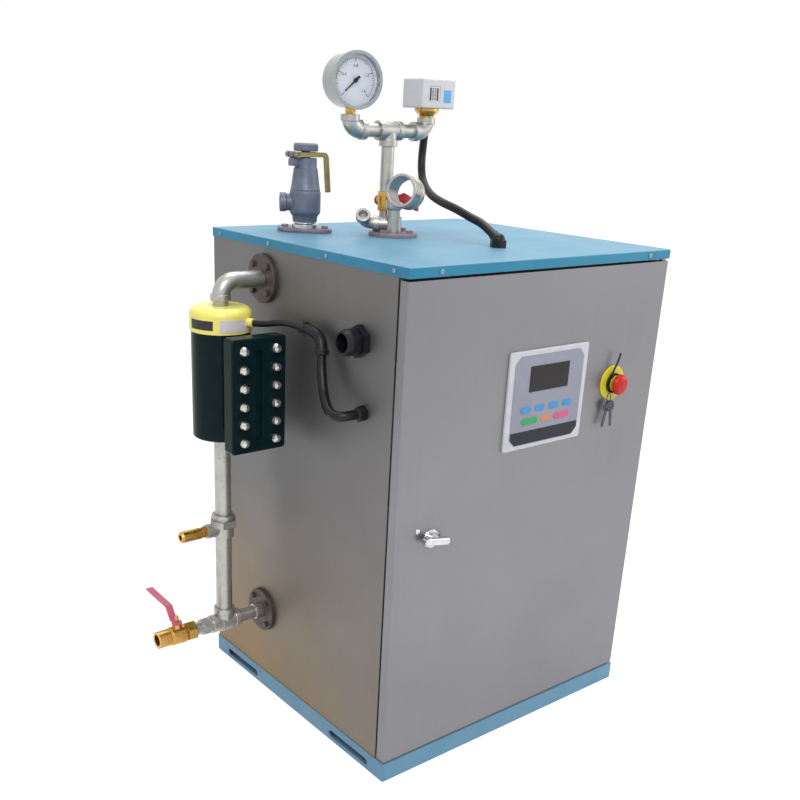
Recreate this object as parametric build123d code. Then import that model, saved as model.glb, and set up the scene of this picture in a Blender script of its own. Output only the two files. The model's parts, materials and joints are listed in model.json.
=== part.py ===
from build123d import *
from math import cos, radians, sin, tan
import os

# An electric steam boiler in a sheet-metal cabinet. Millimetres, +Z up, the door faces -Y and the level column hangs on -X.
# The origin is the centre of the cabinet's footprint, on the floor.

# Cabinet
width = 700.0
depth = 640.0
height = 1000.0
sheet = 2.0
inset = 2.0  # the body stands this far inside the lid and the plinth
bend_r = 4.0
return_w = 22.0

# Lid and plinth
lid_skirt = 18.0
plinth_h = 38.0
plinth_sheet = 3.0
plinth_foot = 30.0
runner_w = 60.0
slot_len = 130.0
slot_h = 16.0
slot_y = 205.0
slot_z = 15.0

# Door
door_depth = 22.0
door_gap = 5.0
door_rim = 24.0
lip_depth = 14.0

# Pivot hinges at the door's upper and lower corner
hinge_pin_r = 5.0
hinge_washer_r = 7.0
hinge_in = 8.0  # from the door's side to the pivot
hinge_set = 10.0  # from the door's front to the pivot
hinge_block_w = 15.0
hinge_block_h = 20.0
hinge_plate_t = 5.0
hinge_plate_w = 24.0
hinge_bite = 14.0
running = 0.05
free = 0.3

# Louvres on the hidden sides
louvre_len = 110.0
louvre_h = 14.0
louvre_out = 7.0
louvre_pitch = 32.0
louvre_count = 5
louvre_wall = 1.5

# Controller in the door
panel_x = 13.0
panel_z = 736.5
panel_w = 218.0
panel_h = 193.0
panel_t = 5.0
face_w = 191.0
face_h = 174.0
face_t = 2.0
face_set = 1.0  # how deep the face plate lies in the frame
face_cut = 14.0
display_w = 108.0
display_h = 50.0
display_up = 41.0
display_t = 1.5
key_w = 27.0
key_h = 13.0
key_t = 1.2
key_pitch = 39.0
key_row1 = -17.5
key_row2 = -41.0
key_wide = 44.0
controller_d = 55.0
controller_wall = 6.0

# Emergency stop
stop_x = 212.0
stop_z = 739.0
stop_disc_r = 36.0
stop_disc_t = 3.0
stop_neck_r = 16.0
stop_neck_len = 10.0
stop_head_r = 21.0
stop_head_len = 15.0
stop_travel = 5.0
stop_stem_r = 9.0
stop_barrel_r = 14.0
stop_barrel_len = 48.0

# Quarter-turn latch
latch_x = -262.0
latch_z = 503.0
latch_plate_r = 19.0
latch_plate_t = 4.0
latch_hub_r = 12.0
latch_shaft_r = 6.0
latch_bar_len = 62.0
latch_bar_h = 14.0
latch_bar_d = 13.0
latch_tilt = -10.0
cam_len = 84.0
cam_w = 20.0
cam_t = 3.0
cam_gap = 6.0

# Pressure vessel and what hangs on it
vessel_x = -120.0
vessel_y = 110.0
vessel_r = 190.0
vessel_low = 150.0
vessel_high = 948.0
vessel_dish = 34.0
vessel_leg_r = 16.0
vessel_leg_pitch = 130.0
nozzle_r = 17.0
hole_clear = 6.0
heater_z = 330.0
heater_neck_r = 72.0
heater_flange_r = 96.0
heater_flange_t = 14.0
heater_cap_r = 80.0
heater_cap_len = 62.0
heater_stand = 30.0

# Switchgear plate
gear_x = 120.0
gear_y = 40.0
gear_low = 430.0
gear_high = 890.0
gear_sheet = 2.5
contactor_w = 52.0
contactor_h = 82.0
contactor_d = 74.0
contactor_count = 3

# Lid fittings
pad_r = 57.0
pad_t = 8.0
safety_x = -208.0
safety_y = 185.0
steam_x = -74.0
steam_y = 60.0
steam_pad_r = 50.0
line_x = -61.0
line_y = 104.0

# Pipes and fittings
pipe_r = 13.5
column_pipe_r = 17.0
band = 5.5  # how far a fitting's end stands out over the pipe
band_len = 13.0
socket = 9.0

# Safety valve
safety_nipple_r = 26.0
safety_base = 20.0
safety_tall = 125.0
safety_neck_r = 24.0
safety_out_r = 23.0
safety_out_reach = 58.0
spindle_r = 9.0
spindle_bite = 24.0
safety_cap_r = 25.0
safety_cap_t = 15.0
lever_reach = 31.0  # from the spindle to the lever's pivot
lever_rise = 6.5  # from the bonnet's top to the pivot
lever_t = 9.0
lever_w = 8.0
lever_gap = 3.5  # on both sides of the spindle and of the lug
lever_drop = 74.0
lever_lift_gap = 2.0
lug_w = 17.0

# Steam outlet tee
outlet_z = 1081.0
outlet_r = 35.0
outlet_bore = 27.0
outlet_len = 52.0
outlet_turn = -22.0
outlet_front = 8.0
cross_z = 1024.0
cross_r = 17.0
cross_h = 30.0
branch_r = 9.5
branch_reach = 42.0
branch_turn = 141.0
street_bend = 20.0
street_tilt = 35.0

# Gauge line: brass ball valve, riser and crossbar
gauge_valve_z = 1066.0
gauge_valve_r = 16.0
gauge_valve_len = 38.0
gauge_stem_len = 16.0
gauge_handle_len = 112.0
gauge_handle_dip = -17.0
crossbar_z = 1203.0
crossbar_reach = 99.0
tee_reach = 30.0
elbow_bend = 24.0

# Pressure gauge
gauge_z = 1292.0
gauge_r = 50.0
gauge_rim = 3.0
gauge_depth = 62.0
gauge_turn = -12.0
gauge_wall = 3.0
gauge_dial_in = 14.0
gauge_dial_t = 1.5
gauge_glass_in = 5.0
gauge_glass_t = 2.5
needle_len = 30.0
needle_tail = 11.0
needle_angle = 222.0

# Pressure switch
switch_w = 90.0
switch_d = 62.0
switch_h = 56.0
switch_z = 1249.0
switch_shift = 4.0
switch_gland_x = 77.0
switch_gland_y = 149.0
switch_gland_r = 11.0
switch_cable_r = 7.5
grommet_x = 6.0
grommet_y = -165.0
grommet_r = 14.0
grommet_h = 14.0
grommet_tilt = 22.0
grommet_len = 20.0

# Level column on the left side
column_x = -448.0
column_y = 118.0
level_high = 922.0
level_low = 194.0
side_pad_r = 48.0
side_pad_t = 10.0
column_bend = 30.0
chamber_r = 58.0
chamber_wall = 6.0
chamber_low = 616.0
chamber_high = 830.0
cap_r = 61.0
cap_h = 47.0
cap_round = 16.0
cap_neck_h = 14.0
cover_y = -22.0  # front face of the bolted cover
cover_w = 118.0
cover_low = 620.0
cover_high = 840.0
cover_t = 15.0
body_flange_t = 13.0
neck_w = 46.0
bolt_rows = 6
bolt_pitch = 35.0
bolt_spread = 70.0
bolt_r = 9.5
bolt_dome = 8.0
stud_r = 5.0
stud_out = 14.0
sight_w = 12.0
sight_deep = 6.0

# Sampling tee and drain
sample_z = 420.0
sample_r = 26.0
sample_len = 50.0
sample_reach = 42.0
cock_r = 12.0
cock_bore = 6.0
cock_len = 58.0
drain_fit_r = 21.0
drain_reach = 34.0
drain_valve_x = -522.0
drain_valve_len = 86.0
drain_valve_r = 20.0
drain_bore = 12.0
drain_stem_r = 7.0
drain_stem_len = 24.0
drain_handle_rise = 24.0
drain_handle_len = 125.0
drain_handle_w = 15.0
drain_handle_t = 4.0

# Cable glands on the left side
level_cable_r = 5.5
cap_gland_z = 850.0
cap_gland_turn = -62.0
cap_gland_len = 12.0
gland_y = -212.0
gland_z = 729.0
gland_r = 14.0
gland_len = 18.0
power_y = -196.0
power_z = 857.0
power_r = 25.0
power_bore = 17.0
power_len = 42.0

# Derived places
half_w = width / 2
half_d = depth / 2
body_x = half_w - inset
body_y = half_d - inset
skirt_z = height - lid_skirt
lid_under = height - sheet
door_front = -body_y
door_back = door_front + door_depth
door_low = plinth_h + door_gap
door_high = skirt_z - door_gap
frame_front = door_back + door_gap
inner_x = body_x - sheet
frame_in_x = inner_x - door_rim
frame_in_low = plinth_h + door_rim
frame_in_high = door_high - door_rim
hinge_x = body_x - hinge_in
hinge_y = door_front + hinge_set
safety_top = height + safety_base + safety_tall
lever_x = safety_x - lever_reach
lever_z = safety_top + lever_rise
lever_bottom = lever_z - lever_t / 2
lever_top = lever_z + lever_t / 2
lid_top = height + pad_t
elbow_top = crossbar_z + elbow_bend + 4.0

LEFT = Vector(-1, 0, 0)
RIGHT = Vector(1, 0, 0)
FRONT = Vector(0, -1, 0)
BACK = Vector(0, 1, 0)
UP = Vector(0, 0, 1)
DOWN = Vector(0, 0, -1)


def span(x0, x1, y0, y1, z0, z1):
    """A block between two corners."""
    size = (x1 - x0, y1 - y0, z1 - z0)
    return Pos((x0 + x1) / 2, (y0 + y1) / 2, (z0 + z1) / 2) * Box(*size)


def rod(start, along, radius, length):
    """A round bar that leaves start in one direction."""
    base = Plane(origin=start, z_dir=along)
    return base * Cylinder(radius, length, align=(Align.CENTER, Align.CENTER, Align.MIN))


def turned(start, along, profile):
    """A turned piece: profile gives (radius, distance from start) pairs, closed on the axis."""
    outline = [(0, profile[0][1])] if profile[0][0] > 0 else []
    outline += list(profile)
    outline += [(0, profile[-1][1])] if profile[-1][0] > 0 else []
    face = make_face(Plane.XZ * Polyline(*outline, close=True))
    return Plane(origin=start, z_dir=along) * revolve(face, Axis.Z)


def hexagon(start, along, across, length):
    """A hexagonal bar, measured across its flats."""
    face = RegularPolygon(across / 2, 6, major_radius=False)
    return Plane(origin=start, z_dir=along) * extrude(face, length)


def bend(centre, first, second, bend_radius, radius):
    """A quarter turn of round bar between two directions that leave the corner centre."""
    hub = centre + (first + second) * bend_radius
    start = centre + first * bend_radius
    end = centre + second * bend_radius
    middle = hub - (first + second).normalized() * bend_radius
    path = ThreePointArc(start, middle, end)
    return sweep(Plane(origin=start, z_dir=first * -1) * Circle(radius), path)


def rim(centre, along, reach, body_r, tube_r):
    """One outlet of a threaded fitting: a neck, its band and the socket for the pipe."""
    neck = rod(centre, along, body_r, reach)
    return neck + banded(centre + along * (reach - band_len), along, tube_r)


def banded(start, along, tube_r):
    """The rounded band at a fitting's end."""
    collar = rod(start, along, tube_r + band, band_len)
    return fillet(collar.edges().filter_by(GeomType.CIRCLE), 1.2)


def bored(centre, along, reach, tube_r):
    """The socket that takes the pipe's end in such an outlet."""
    return rod(centre + along * (reach - socket), along, tube_r, socket + 1)


def louvre(face_x, facing, y, z):
    """A pressed louvre on a side panel, as its hood and the slot that it covers."""
    tip = face_x + facing * louvre_out
    outer = [(face_x, z), (face_x, z + louvre_h), (tip, z + louvre_wall), (tip, z)]
    drop = facing * louvre_wall
    inner = [
        (face_x - drop, z - 1),
        (face_x - drop, z + louvre_h - 2 * louvre_wall),
        (tip - drop, z + louvre_wall / 2),
        (tip - drop, z - 1),
    ]
    side = Plane.XZ.offset(-(y + louvre_len / 2))
    hood = extrude(make_face(side * Polyline(*outer, close=True)), louvre_len)
    inside = Plane.XZ.offset(-(y + louvre_len / 2 - louvre_wall))
    hollow = extrude(make_face(inside * Polyline(*inner, close=True)), louvre_len - 2 * louvre_wall)
    return hood, hollow


def make_plinth():
    """A welded tray with fork slots, a foot flange all round and a runner under its middle."""
    tray = span(-half_w, half_w, -half_d, half_d, 0, plinth_h)
    tray = fillet(tray.edges().filter_by(Axis.Z), bend_r)
    inner_w = half_w - plinth_sheet
    inner_d = half_d - plinth_sheet
    tray -= span(-inner_w, inner_w, -inner_d, inner_d, plinth_sheet, plinth_h - plinth_sheet)
    foot_w = inner_w - plinth_foot
    foot_d = inner_d - plinth_foot
    tray -= span(-foot_w, foot_w, -foot_d, foot_d, -1, plinth_sheet + 1)
    tray += span(-foot_w, foot_w, -runner_w / 2, runner_w / 2, 0, plinth_sheet)
    for edge in (-1, 1):
        web = edge * (runner_w / 2 - plinth_sheet / 2)
        low, high = web - plinth_sheet / 2, web + plinth_sheet / 2
        tray += span(-inner_w, inner_w, low, high, 0, plinth_h - plinth_sheet)
    slot = SlotOverall(slot_len, slot_h)
    for y in (-slot_y, slot_y):
        cut = Plane(origin=(-half_w - 1, y, slot_z), x_dir=(0, 1, 0), z_dir=(1, 0, 0)) * slot
        tray -= extrude(cut, width + 2)
    return tray


def side_panel(facing):
    """A folded side sheet with a return at the back. facing is -1 on the left and 1 on the right."""
    outer = facing * body_x
    inner = facing * (body_x - return_w)
    low_x, high_x = min(outer, inner), max(outer, inner)
    panel = span(low_x, high_x, frame_front, body_y, plinth_h, lid_under)
    corner = panel.edges().filter_by(Axis.Z).sort_by(Axis.Y)[-2:].sort_by(Axis.X)[0 if facing < 0 else -1]
    panel = fillet(corner, bend_r)
    cut_out = facing * (body_x - sheet)
    cut_in = facing * (body_x - return_w - 1)
    low_x, high_x = min(cut_out, cut_in), max(cut_out, cut_in)
    return panel - span(low_x, high_x, frame_front - 1, body_y - sheet, plinth_h - 1, lid_under + 1)


def make_left_panel():
    """The left side, drilled for the level nozzles and the cable glands."""
    panel = side_panel(-1)
    outside = -body_x - 1
    for z in (level_high, level_low):
        start = Vector(outside, column_y, z)
        panel -= rod(start, RIGHT, nozzle_r + hole_clear, sheet + 2)
    panel -= rod(Vector(outside, gland_y, gland_z), RIGHT, gland_r - 3, sheet + 2)
    panel -= rod(Vector(outside, power_y, power_z), RIGHT, power_bore, sheet + 2)
    return panel


def make_right_panel():
    """The right side, with two banks of pressed louvres."""
    panel = side_panel(1)
    for bank_z in (150.0, 700.0):
        for row in range(louvre_count):
            hood, hollow = louvre(body_x, 1, 60.0, bank_z + row * louvre_pitch)
            panel += hood
            slot_z0 = bank_z + row * louvre_pitch
            panel -= hollow
            panel -= span(body_x - sheet - 1, body_x + 0.5, 60 - louvre_len / 2 + louvre_wall,
                          60 + louvre_len / 2 - louvre_wall, slot_z0 + 0.5, slot_z0 + louvre_h - 2 * louvre_wall)
    return panel


def make_back_panel():
    """The back sheet, seated on the side panels' returns, with a vent grille of slots."""
    back = span(-inner_x, inner_x, body_y - 2 * sheet, body_y - sheet, plinth_h, lid_under)
    slot = SlotOverall(90, 6)
    for column in (-1, 1):
        for row in range(7):
            place = (column * 70, body_y - 3 * sheet, 800 + row * 18)
            cut = Plane(origin=place, x_dir=(1, 0, 0), z_dir=(0, 1, 0)) * slot
            back -= extrude(cut, 3 * sheet)
    return back


def make_front_frame():
    """The frame behind the door, with a lip folded inwards round its opening."""
    frame = span(-inner_x, inner_x, frame_front, frame_front + sheet, plinth_h, lid_under)
    lip_back = frame_front + sheet + lip_depth
    frame += span(-frame_in_x - sheet, frame_in_x + sheet, frame_front, lip_back,
                  frame_in_low - sheet, frame_in_high + sheet)
    return frame - span(-frame_in_x, frame_in_x, frame_front - 1, lip_back + 1, frame_in_low, frame_in_high)


def make_lid():
    """A folded lid with a skirt, drilled for the two risers and the cable."""
    lid = span(-half_w, half_w, -half_d, half_d, skirt_z, height)
    lid = fillet(lid.edges().filter_by(Axis.Z), bend_r + 1)
    lid = fillet(lid.faces().sort_by(Axis.Z)[-1].edges(), 1.8)
    lid -= span(-body_x, body_x, -body_y, body_y, skirt_z - 1, lid_under)
    for x, y, r in (
        (safety_x, safety_y, nozzle_r + hole_clear),
        (steam_x, steam_y, nozzle_r + hole_clear),
        (grommet_x, grommet_y, grommet_r - 4),
    ):
        lid -= rod(Vector(x, y, lid_under - 1), UP, r, sheet + 2)
    return lid


def make_door():
    """The pan door: a front sheet with returns, cut for the controller, the stop and the latch."""
    door = span(-body_x, body_x, door_front, door_back, door_low, door_high)
    door = fillet(door.edges().filter_by(Axis.Z).sort_by(Axis.Y)[:2], bend_r - 1)
    door -= span(-inner_x, inner_x, door_front + sheet, door_back + 1, door_low + sheet, door_high - sheet)
    cut_w = face_w / 2 - controller_wall
    cut_h = face_h / 2 - controller_wall
    door -= span(panel_x - cut_w, panel_x + cut_w, door_front - 1, door_front + sheet + 1,
                 panel_z - cut_h, panel_z + cut_h)
    door -= rod(Vector(stop_x, door_front - 1, stop_z), BACK, stop_barrel_r + free, sheet + 2)
    door -= rod(Vector(latch_x, door_front - 1, latch_z), BACK, latch_shaft_r + 4, sheet + 2)
    return door - rod(Vector(hinge_x, hinge_y, door_low - 1), UP, hinge_pin_r + free, door_high - door_low + 2)


def make_frame_hinges():
    """The fixed halves: a pin on the plinth, and a pin under a plate on the front frame."""
    bottom = Vector(hinge_x, hinge_y, plinth_h)
    lower = rod(bottom, UP, hinge_washer_r, door_low - free - plinth_h)
    lower += rod(bottom, UP, hinge_pin_r, door_low + hinge_bite - plinth_h)
    plate = span(inner_x - hinge_plate_w, inner_x, hinge_y - hinge_washer_r, frame_front,
                 skirt_z, skirt_z + hinge_plate_t)
    top = Vector(hinge_x, hinge_y, skirt_z)
    upper = plate + rod(top, DOWN, hinge_washer_r, skirt_z - door_high - free)
    upper += rod(top, DOWN, hinge_pin_r, skirt_z - door_high + hinge_bite)
    return [lower, upper]


def make_door_hinges():
    """The bored blocks inside the door's corners that turn on the pins."""
    blocks = []
    for z, way in ((door_low + sheet, UP), (door_high - sheet, DOWN)):
        far = z + way.Z * hinge_block_h
        block = span(inner_x - hinge_block_w, inner_x, door_front + sheet, door_front + sheet + hinge_block_w,
                     min(z, far), max(z, far))
        start = Vector(hinge_x, hinge_y, z) - way
        blocks.append(block - rod(start, way, hinge_pin_r + running, hinge_bite + 2))
    return blocks


def make_panel_frame():
    """The white bezel round the controller, recessed for its face plate."""
    front = door_front - panel_t
    frame = span(panel_x - panel_w / 2, panel_x + panel_w / 2, front, door_front,
                 panel_z - panel_h / 2, panel_z + panel_h / 2)
    frame = fillet(frame.edges().filter_by(Axis.Y), 5)
    frame = chamfer(frame.faces().sort_by(Axis.Y)[0].edges(), 1.5)
    return frame - extrude(panel_face_outline(front), face_set + 0.0)


def panel_face_outline(y):
    """The face plate's outline, a rectangle with cut corners, at depth y."""
    plane = Plane(origin=(panel_x, y, panel_z), x_dir=(1, 0, 0), z_dir=(0, 1, 0))
    return plane * chamfer(Rectangle(face_w, face_h).vertices(), face_cut)


def make_panel_face():
    """The coloured face plate in the bezel's recess."""
    front = door_front - panel_t
    return extrude(panel_face_outline(front + face_set), -face_t)


def face_front():
    """Depth of the face plate's front."""
    return door_front - panel_t + face_set - face_t


def make_display():
    """The display window on the face plate."""
    x0, x1 = panel_x - display_w / 2, panel_x + display_w / 2
    middle = panel_z + display_up
    window = span(x0, x1, face_front() - display_t, face_front(), middle - display_h / 2, middle + display_h / 2)
    return chamfer(window.faces().sort_by(Axis.Y)[0].edges(), 0.8)


def make_keys():
    """Seven membrane keys: a row of four ovals over a row of three."""
    keys = []
    ovals = [(panel_x + (i - 1.5) * key_pitch, key_row1, key_w) for i in range(4)]
    ovals += [(panel_x + (i - 1) * (key_pitch + 6), key_row2, key_wide if i != 1 else key_w) for i in range(3)]
    for x, up, wide in ovals:
        plane = Plane(origin=(x, face_front(), panel_z + up), x_dir=(1, 0, 0), z_dir=(0, -1, 0))
        key = extrude(plane * SlotOverall(wide, key_h), key_t)
        keys.append(fillet(key.faces().sort_by(Axis.Y)[0].edges(), 0.8))
    return keys


def make_controller():
    """The controller's housing behind the door."""
    w = face_w / 2 - controller_wall - free
    h = face_h / 2 - controller_wall - free
    housing = span(panel_x - w, panel_x + w, door_front, door_front + controller_d, panel_z - h, panel_z + h)
    return fillet(housing.faces().sort_by(Axis.Y)[-1].edges(), 3)


def make_stop_collar():
    """The stop's yellow disc, its neck and the barrel behind the door, bored for the stem."""
    start = Vector(stop_x, door_front, stop_z)
    disc = turned(start, FRONT, [
        (stop_disc_r, 0), (stop_disc_r, stop_disc_t - 1), (stop_disc_r - 1, stop_disc_t),
        (stop_neck_r + 2, stop_disc_t), (stop_neck_r, stop_neck_len),
    ])
    barrel = rod(start, BACK, stop_barrel_r, stop_barrel_len)
    ring = rod(start + BACK * sheet, BACK, stop_barrel_r + 6, 6)
    bore = rod(start + BACK * (stop_barrel_len - 6), FRONT, stop_stem_r + free, stop_barrel_len + stop_neck_len)
    return disc + barrel + ring - bore


def make_stop_button():
    """The red mushroom head with its stem."""
    back = stop_neck_len + stop_travel + 1
    start = Vector(stop_x, door_front - back, stop_z)
    head = turned(start, FRONT, [
        (stop_head_r - 5, 0), (stop_head_r, 3), (stop_head_r, 7), (stop_head_r - 2.5, 11.5),
        (stop_head_r - 8, stop_head_len - 1), (0, stop_head_len),
    ])
    stem = rod(start, BACK, stop_stem_r, back + stop_barrel_len - 6 - stop_travel - 2)
    return head + stem


def make_latch_body():
    """The latch's round plate and its threaded sleeve through the door."""
    start = Vector(latch_x, door_front, latch_z)
    plate = turned(start, FRONT, [
        (latch_plate_r, 0), (latch_plate_r, 1.5), (latch_plate_r - 2, latch_plate_t), (latch_hub_r, latch_plate_t),
    ])
    sleeve = rod(start, BACK, latch_shaft_r + 3.7, door_depth - 4)
    nut = hexagon(start + BACK * sheet, BACK, 30, 6)
    bore = rod(start + FRONT * (latch_plate_t + 1), BACK, latch_shaft_r + running, door_depth + latch_plate_t)
    return plate + sleeve + nut - bore


def make_latch_knob():
    """The wing knob, its shaft and the cam that turns in behind the frame."""
    front = door_front - latch_plate_t - free
    start = Vector(latch_x, front, latch_z)
    hub = turned(start, FRONT, [(latch_hub_r, 0), (latch_hub_r, 4), (latch_hub_r - 2, 7)])
    wing_plane = Plane(origin=start + FRONT * 5, x_dir=(1, 0, 0), z_dir=(0, -1, 0))
    wing = extrude(wing_plane * Rot(0, 0, latch_tilt) * SlotOverall(latch_bar_len, latch_bar_h), latch_bar_d)
    wing = fillet(wing.faces().sort_by(Axis.Y)[0].edges(), 3)
    cam_y = frame_front + sheet + lip_depth + cam_gap
    shaft = rod(start, BACK, latch_shaft_r, cam_y + cam_t + 4 - front)
    cam_plane = Plane(origin=(latch_x, cam_y, latch_z), x_dir=(0, 0, 1), z_dir=(0, 1, 0))
    cam = extrude(cam_plane * Pos(cam_len / 2 - cam_w / 2, 0) * SlotOverall(cam_len, cam_w), cam_t)
    return hub + wing + shaft + cam


def make_vessel():
    """The insulated pressure vessel with dished ends, legs and its four nozzles."""
    start = Vector(vessel_x, vessel_y, 0)
    shell = turned(start, UP, [
        (vessel_r * 0.45, vessel_low - vessel_dish), (vessel_r * 0.8, vessel_low - vessel_dish * 0.6),
        (vessel_r, vessel_low), (vessel_r, vessel_high),
        (vessel_r * 0.8, vessel_high + vessel_dish * 0.6), (vessel_r * 0.45, vessel_high + vessel_dish),
    ])
    for turn in (45, 135, 225, 315):
        x = vessel_x + vessel_leg_pitch * cos(radians(turn))
        y = vessel_y + vessel_leg_pitch * sin(radians(turn))
        shell += rod(Vector(x, y, plinth_h), UP, vessel_leg_r, vessel_low - plinth_h + 20)
    shell += rod(Vector(safety_x, safety_y, vessel_high - 20), UP, nozzle_r, height - vessel_high + 20)
    shell += rod(Vector(steam_x, steam_y, vessel_high - 20), UP, nozzle_r, height - vessel_high + 20)
    for z in (level_high, level_low):
        shell += rod(Vector(-body_x, column_y, z), RIGHT, nozzle_r, body_x + vessel_x)
    neck_len = vessel_r + heater_stand
    shell += rod(Vector(vessel_x, vessel_y, heater_z), FRONT, heater_neck_r, neck_len)
    return shell


def make_heater_head():
    """The heater flange on the vessel's neck, with the cap over its terminals."""
    start = Vector(vessel_x, vessel_y - vessel_r - heater_stand, heater_z)
    head = turned(start, FRONT, [
        (heater_flange_r, 0), (heater_flange_r, heater_flange_t), (heater_cap_r, heater_flange_t),
        (heater_cap_r, heater_flange_t + heater_cap_len - 6), (heater_cap_r - 6, heater_flange_t + heater_cap_len),
    ])
    ring = PolarLocations(heater_flange_r - 8, 8)
    face = start + FRONT * heater_flange_t
    for spot in ring:
        offset = spot.position
        head += hexagon(face + Vector(offset.X, 0, offset.Y), FRONT, 11, 7)
    return head


def make_gear_plate():
    """The plate for the switchgear, folded onto the right side panel, with two rails."""
    plate = span(gear_x, inner_x, gear_y, gear_y + gear_sheet, gear_low, gear_high)
    plate += span(inner_x - gear_sheet, inner_x, gear_y - 30, gear_y + gear_sheet, gear_low, gear_high)
    for z in (gear_low + 120, gear_high - 120):
        plate += span(gear_x + 14, inner_x - 44, gear_y - 8, gear_y, z - 17, z + 17)
    return plate


def make_switchgear():
    """Three contactors on the lower rail, breakers and terminals on the upper one."""
    items = []
    rail_y = gear_y - 8
    for i in range(contactor_count):
        x0 = gear_x + 18 + i * (contactor_w + 4)
        z = gear_low + 120
        body = span(x0, x0 + contactor_w, rail_y - contactor_d, rail_y, z - contactor_h / 2, z + contactor_h / 2)
        step = span(x0 - 1, x0 + contactor_w + 1, rail_y - contactor_d - 1, rail_y - contactor_d * 0.62,
                    z + contactor_h * 0.3, z + contactor_h / 2 + 1)
        foot = span(x0 - 1, x0 + contactor_w + 1, rail_y - contactor_d - 1, rail_y - contactor_d * 0.62,
                    z - contactor_h / 2 - 1, z - contactor_h * 0.3)
        items.append(body - step - foot)
    for i in range(4):
        x0 = gear_x + 18 + i * 20
        z = gear_high - 120
        breaker = span(x0, x0 + 18, rail_y - 44, rail_y, z - 42, z + 42)
        nose = span(x0, x0 + 18, rail_y - 62, rail_y - 44, z - 22, z + 22)
        items.append(breaker + nose)
    z = gear_high - 120
    items.append(span(gear_x + 106, inner_x - 50, rail_y - 40, rail_y, z - 24, z + 24))
    return items


def lid_pad(x, y, radius, bolt_turn):
    """A round flange pad on the lid, with its bolt heads."""
    pad = turned(Vector(x, y, height), UP, [(radius, 0), (radius, pad_t - 1.5), (radius - 1.5, pad_t)])
    for spot in PolarLocations(radius - 11, 4, start_angle=bolt_turn):
        place = Vector(x + spot.position.X, y + spot.position.Y, height + pad_t)
        pad += hexagon(place, UP, 13, 6)
    return pad


def make_safety_nipple():
    """The bright nipple between the flange and the safety valve."""
    rise = safety_base - pad_t
    return turned(Vector(safety_x, safety_y, lid_top), UP, [
        (safety_nipple_r, 0), (safety_nipple_r, rise * 0.6), (safety_nipple_r - 3, rise * 0.8),
        (safety_nipple_r - 3, rise),
    ])


def make_safety_body():
    """The cast safety valve: a bellied base with its side outlet, a waisted bonnet and the lever's lug."""
    start = Vector(safety_x, safety_y, height + safety_base)
    neck_r = safety_neck_r
    body = turned(start, UP, [
        (neck_r + 4, 0), (neck_r + 4, 6), (neck_r + 14, 17), (neck_r + 14, 58), (neck_r + 12, 60),
        (neck_r + 12, 66), (neck_r + 8, 72), (neck_r, safety_tall - 14), (neck_r, safety_tall),
    ])
    middle = start + UP * 38
    outlet = rod(middle, LEFT, safety_out_r, safety_out_reach)
    outlet += rod(middle + LEFT * (safety_out_reach - 14), LEFT, safety_out_r + 3, 14)
    lug = span(lever_x - 6, safety_x - neck_r + 8, safety_y - lug_w / 2, safety_y + lug_w / 2,
               safety_top - 16, lever_z)
    lug += rod(Vector(lever_x, safety_y - lug_w / 2, lever_z), BACK, 6, lug_w)
    lug -= rod(Vector(safety_x, safety_y, safety_top), UP, neck_r + 2, lever_rise + 8)
    pin_len = lug_w + 2 * (lever_gap + lever_w)
    pin = rod(Vector(lever_x, safety_y - pin_len / 2, lever_z), BACK, 3, pin_len)
    whole = body + outlet + lug + pin
    whole -= rod(Vector(safety_x, safety_y, safety_top - spindle_bite - 6), UP, spindle_r + running, spindle_bite + 7)
    return whole - rod(middle + LEFT * (safety_out_reach + 1), RIGHT, safety_out_r - 7, 36)


def make_safety_cap():
    """The spindle and the cap on it, which the fork lifts."""
    start = Vector(safety_x, safety_y, safety_top - spindle_bite)
    base = lever_top + lever_lift_gap
    spindle = rod(start, UP, spindle_r, base - start.Z)
    cap = turned(Vector(safety_x, safety_y, base), UP, [
        (safety_cap_r - 2, 0), (safety_cap_r, 2), (safety_cap_r, safety_cap_t - 3),
        (safety_cap_r - 3, safety_cap_t),
    ])
    return spindle + cap


def make_safety_lever():
    """The brass test lever: a fork round the spindle, and a handle that bends down on the right."""
    inner = lug_w / 2 + lever_gap
    outer = inner + lever_w
    web_x = safety_x + safety_cap_r + 3
    fork = span(lever_x, web_x + lever_w, -outer, outer, lever_bottom, lever_top)
    fork += rod(Vector(lever_x, -outer, lever_z), BACK, lever_t / 2 + 1.5, 2 * outer)
    fork -= span(lever_x - lever_t, web_x, -inner, inner, lever_bottom - 2, lever_top + 2)
    knee = (web_x + 22, 0, lever_z)
    start = (web_x + 1, 0, lever_z)
    path = FilletPolyline(start, knee, (web_x + 29, 0, lever_z - lever_drop), radius=9)
    profile = Plane(origin=start, x_dir=(0, 1, 0), z_dir=(1, 0, 0)) * Rectangle(lever_w, lever_t)
    fork += sweep(profile, path)
    hole = rod(Vector(lever_x, -outer - 1, lever_z), BACK, 3 + running, 2 * outer + 2)
    return Pos(0, safety_y, 0) * (fork - hole)


def branch_way():
    """Direction in which the cross's small branch leaves."""
    return Vector(cos(radians(branch_turn)), sin(radians(branch_turn)), 0)


def mouth_way():
    """Direction of the street elbow's mouth, square to the branch and tilted up."""
    flat = Vector(cos(radians(branch_turn + 90)), sin(radians(branch_turn + 90)), 0)
    return flat * cos(radians(street_tilt)) + UP * sin(radians(street_tilt))


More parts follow.
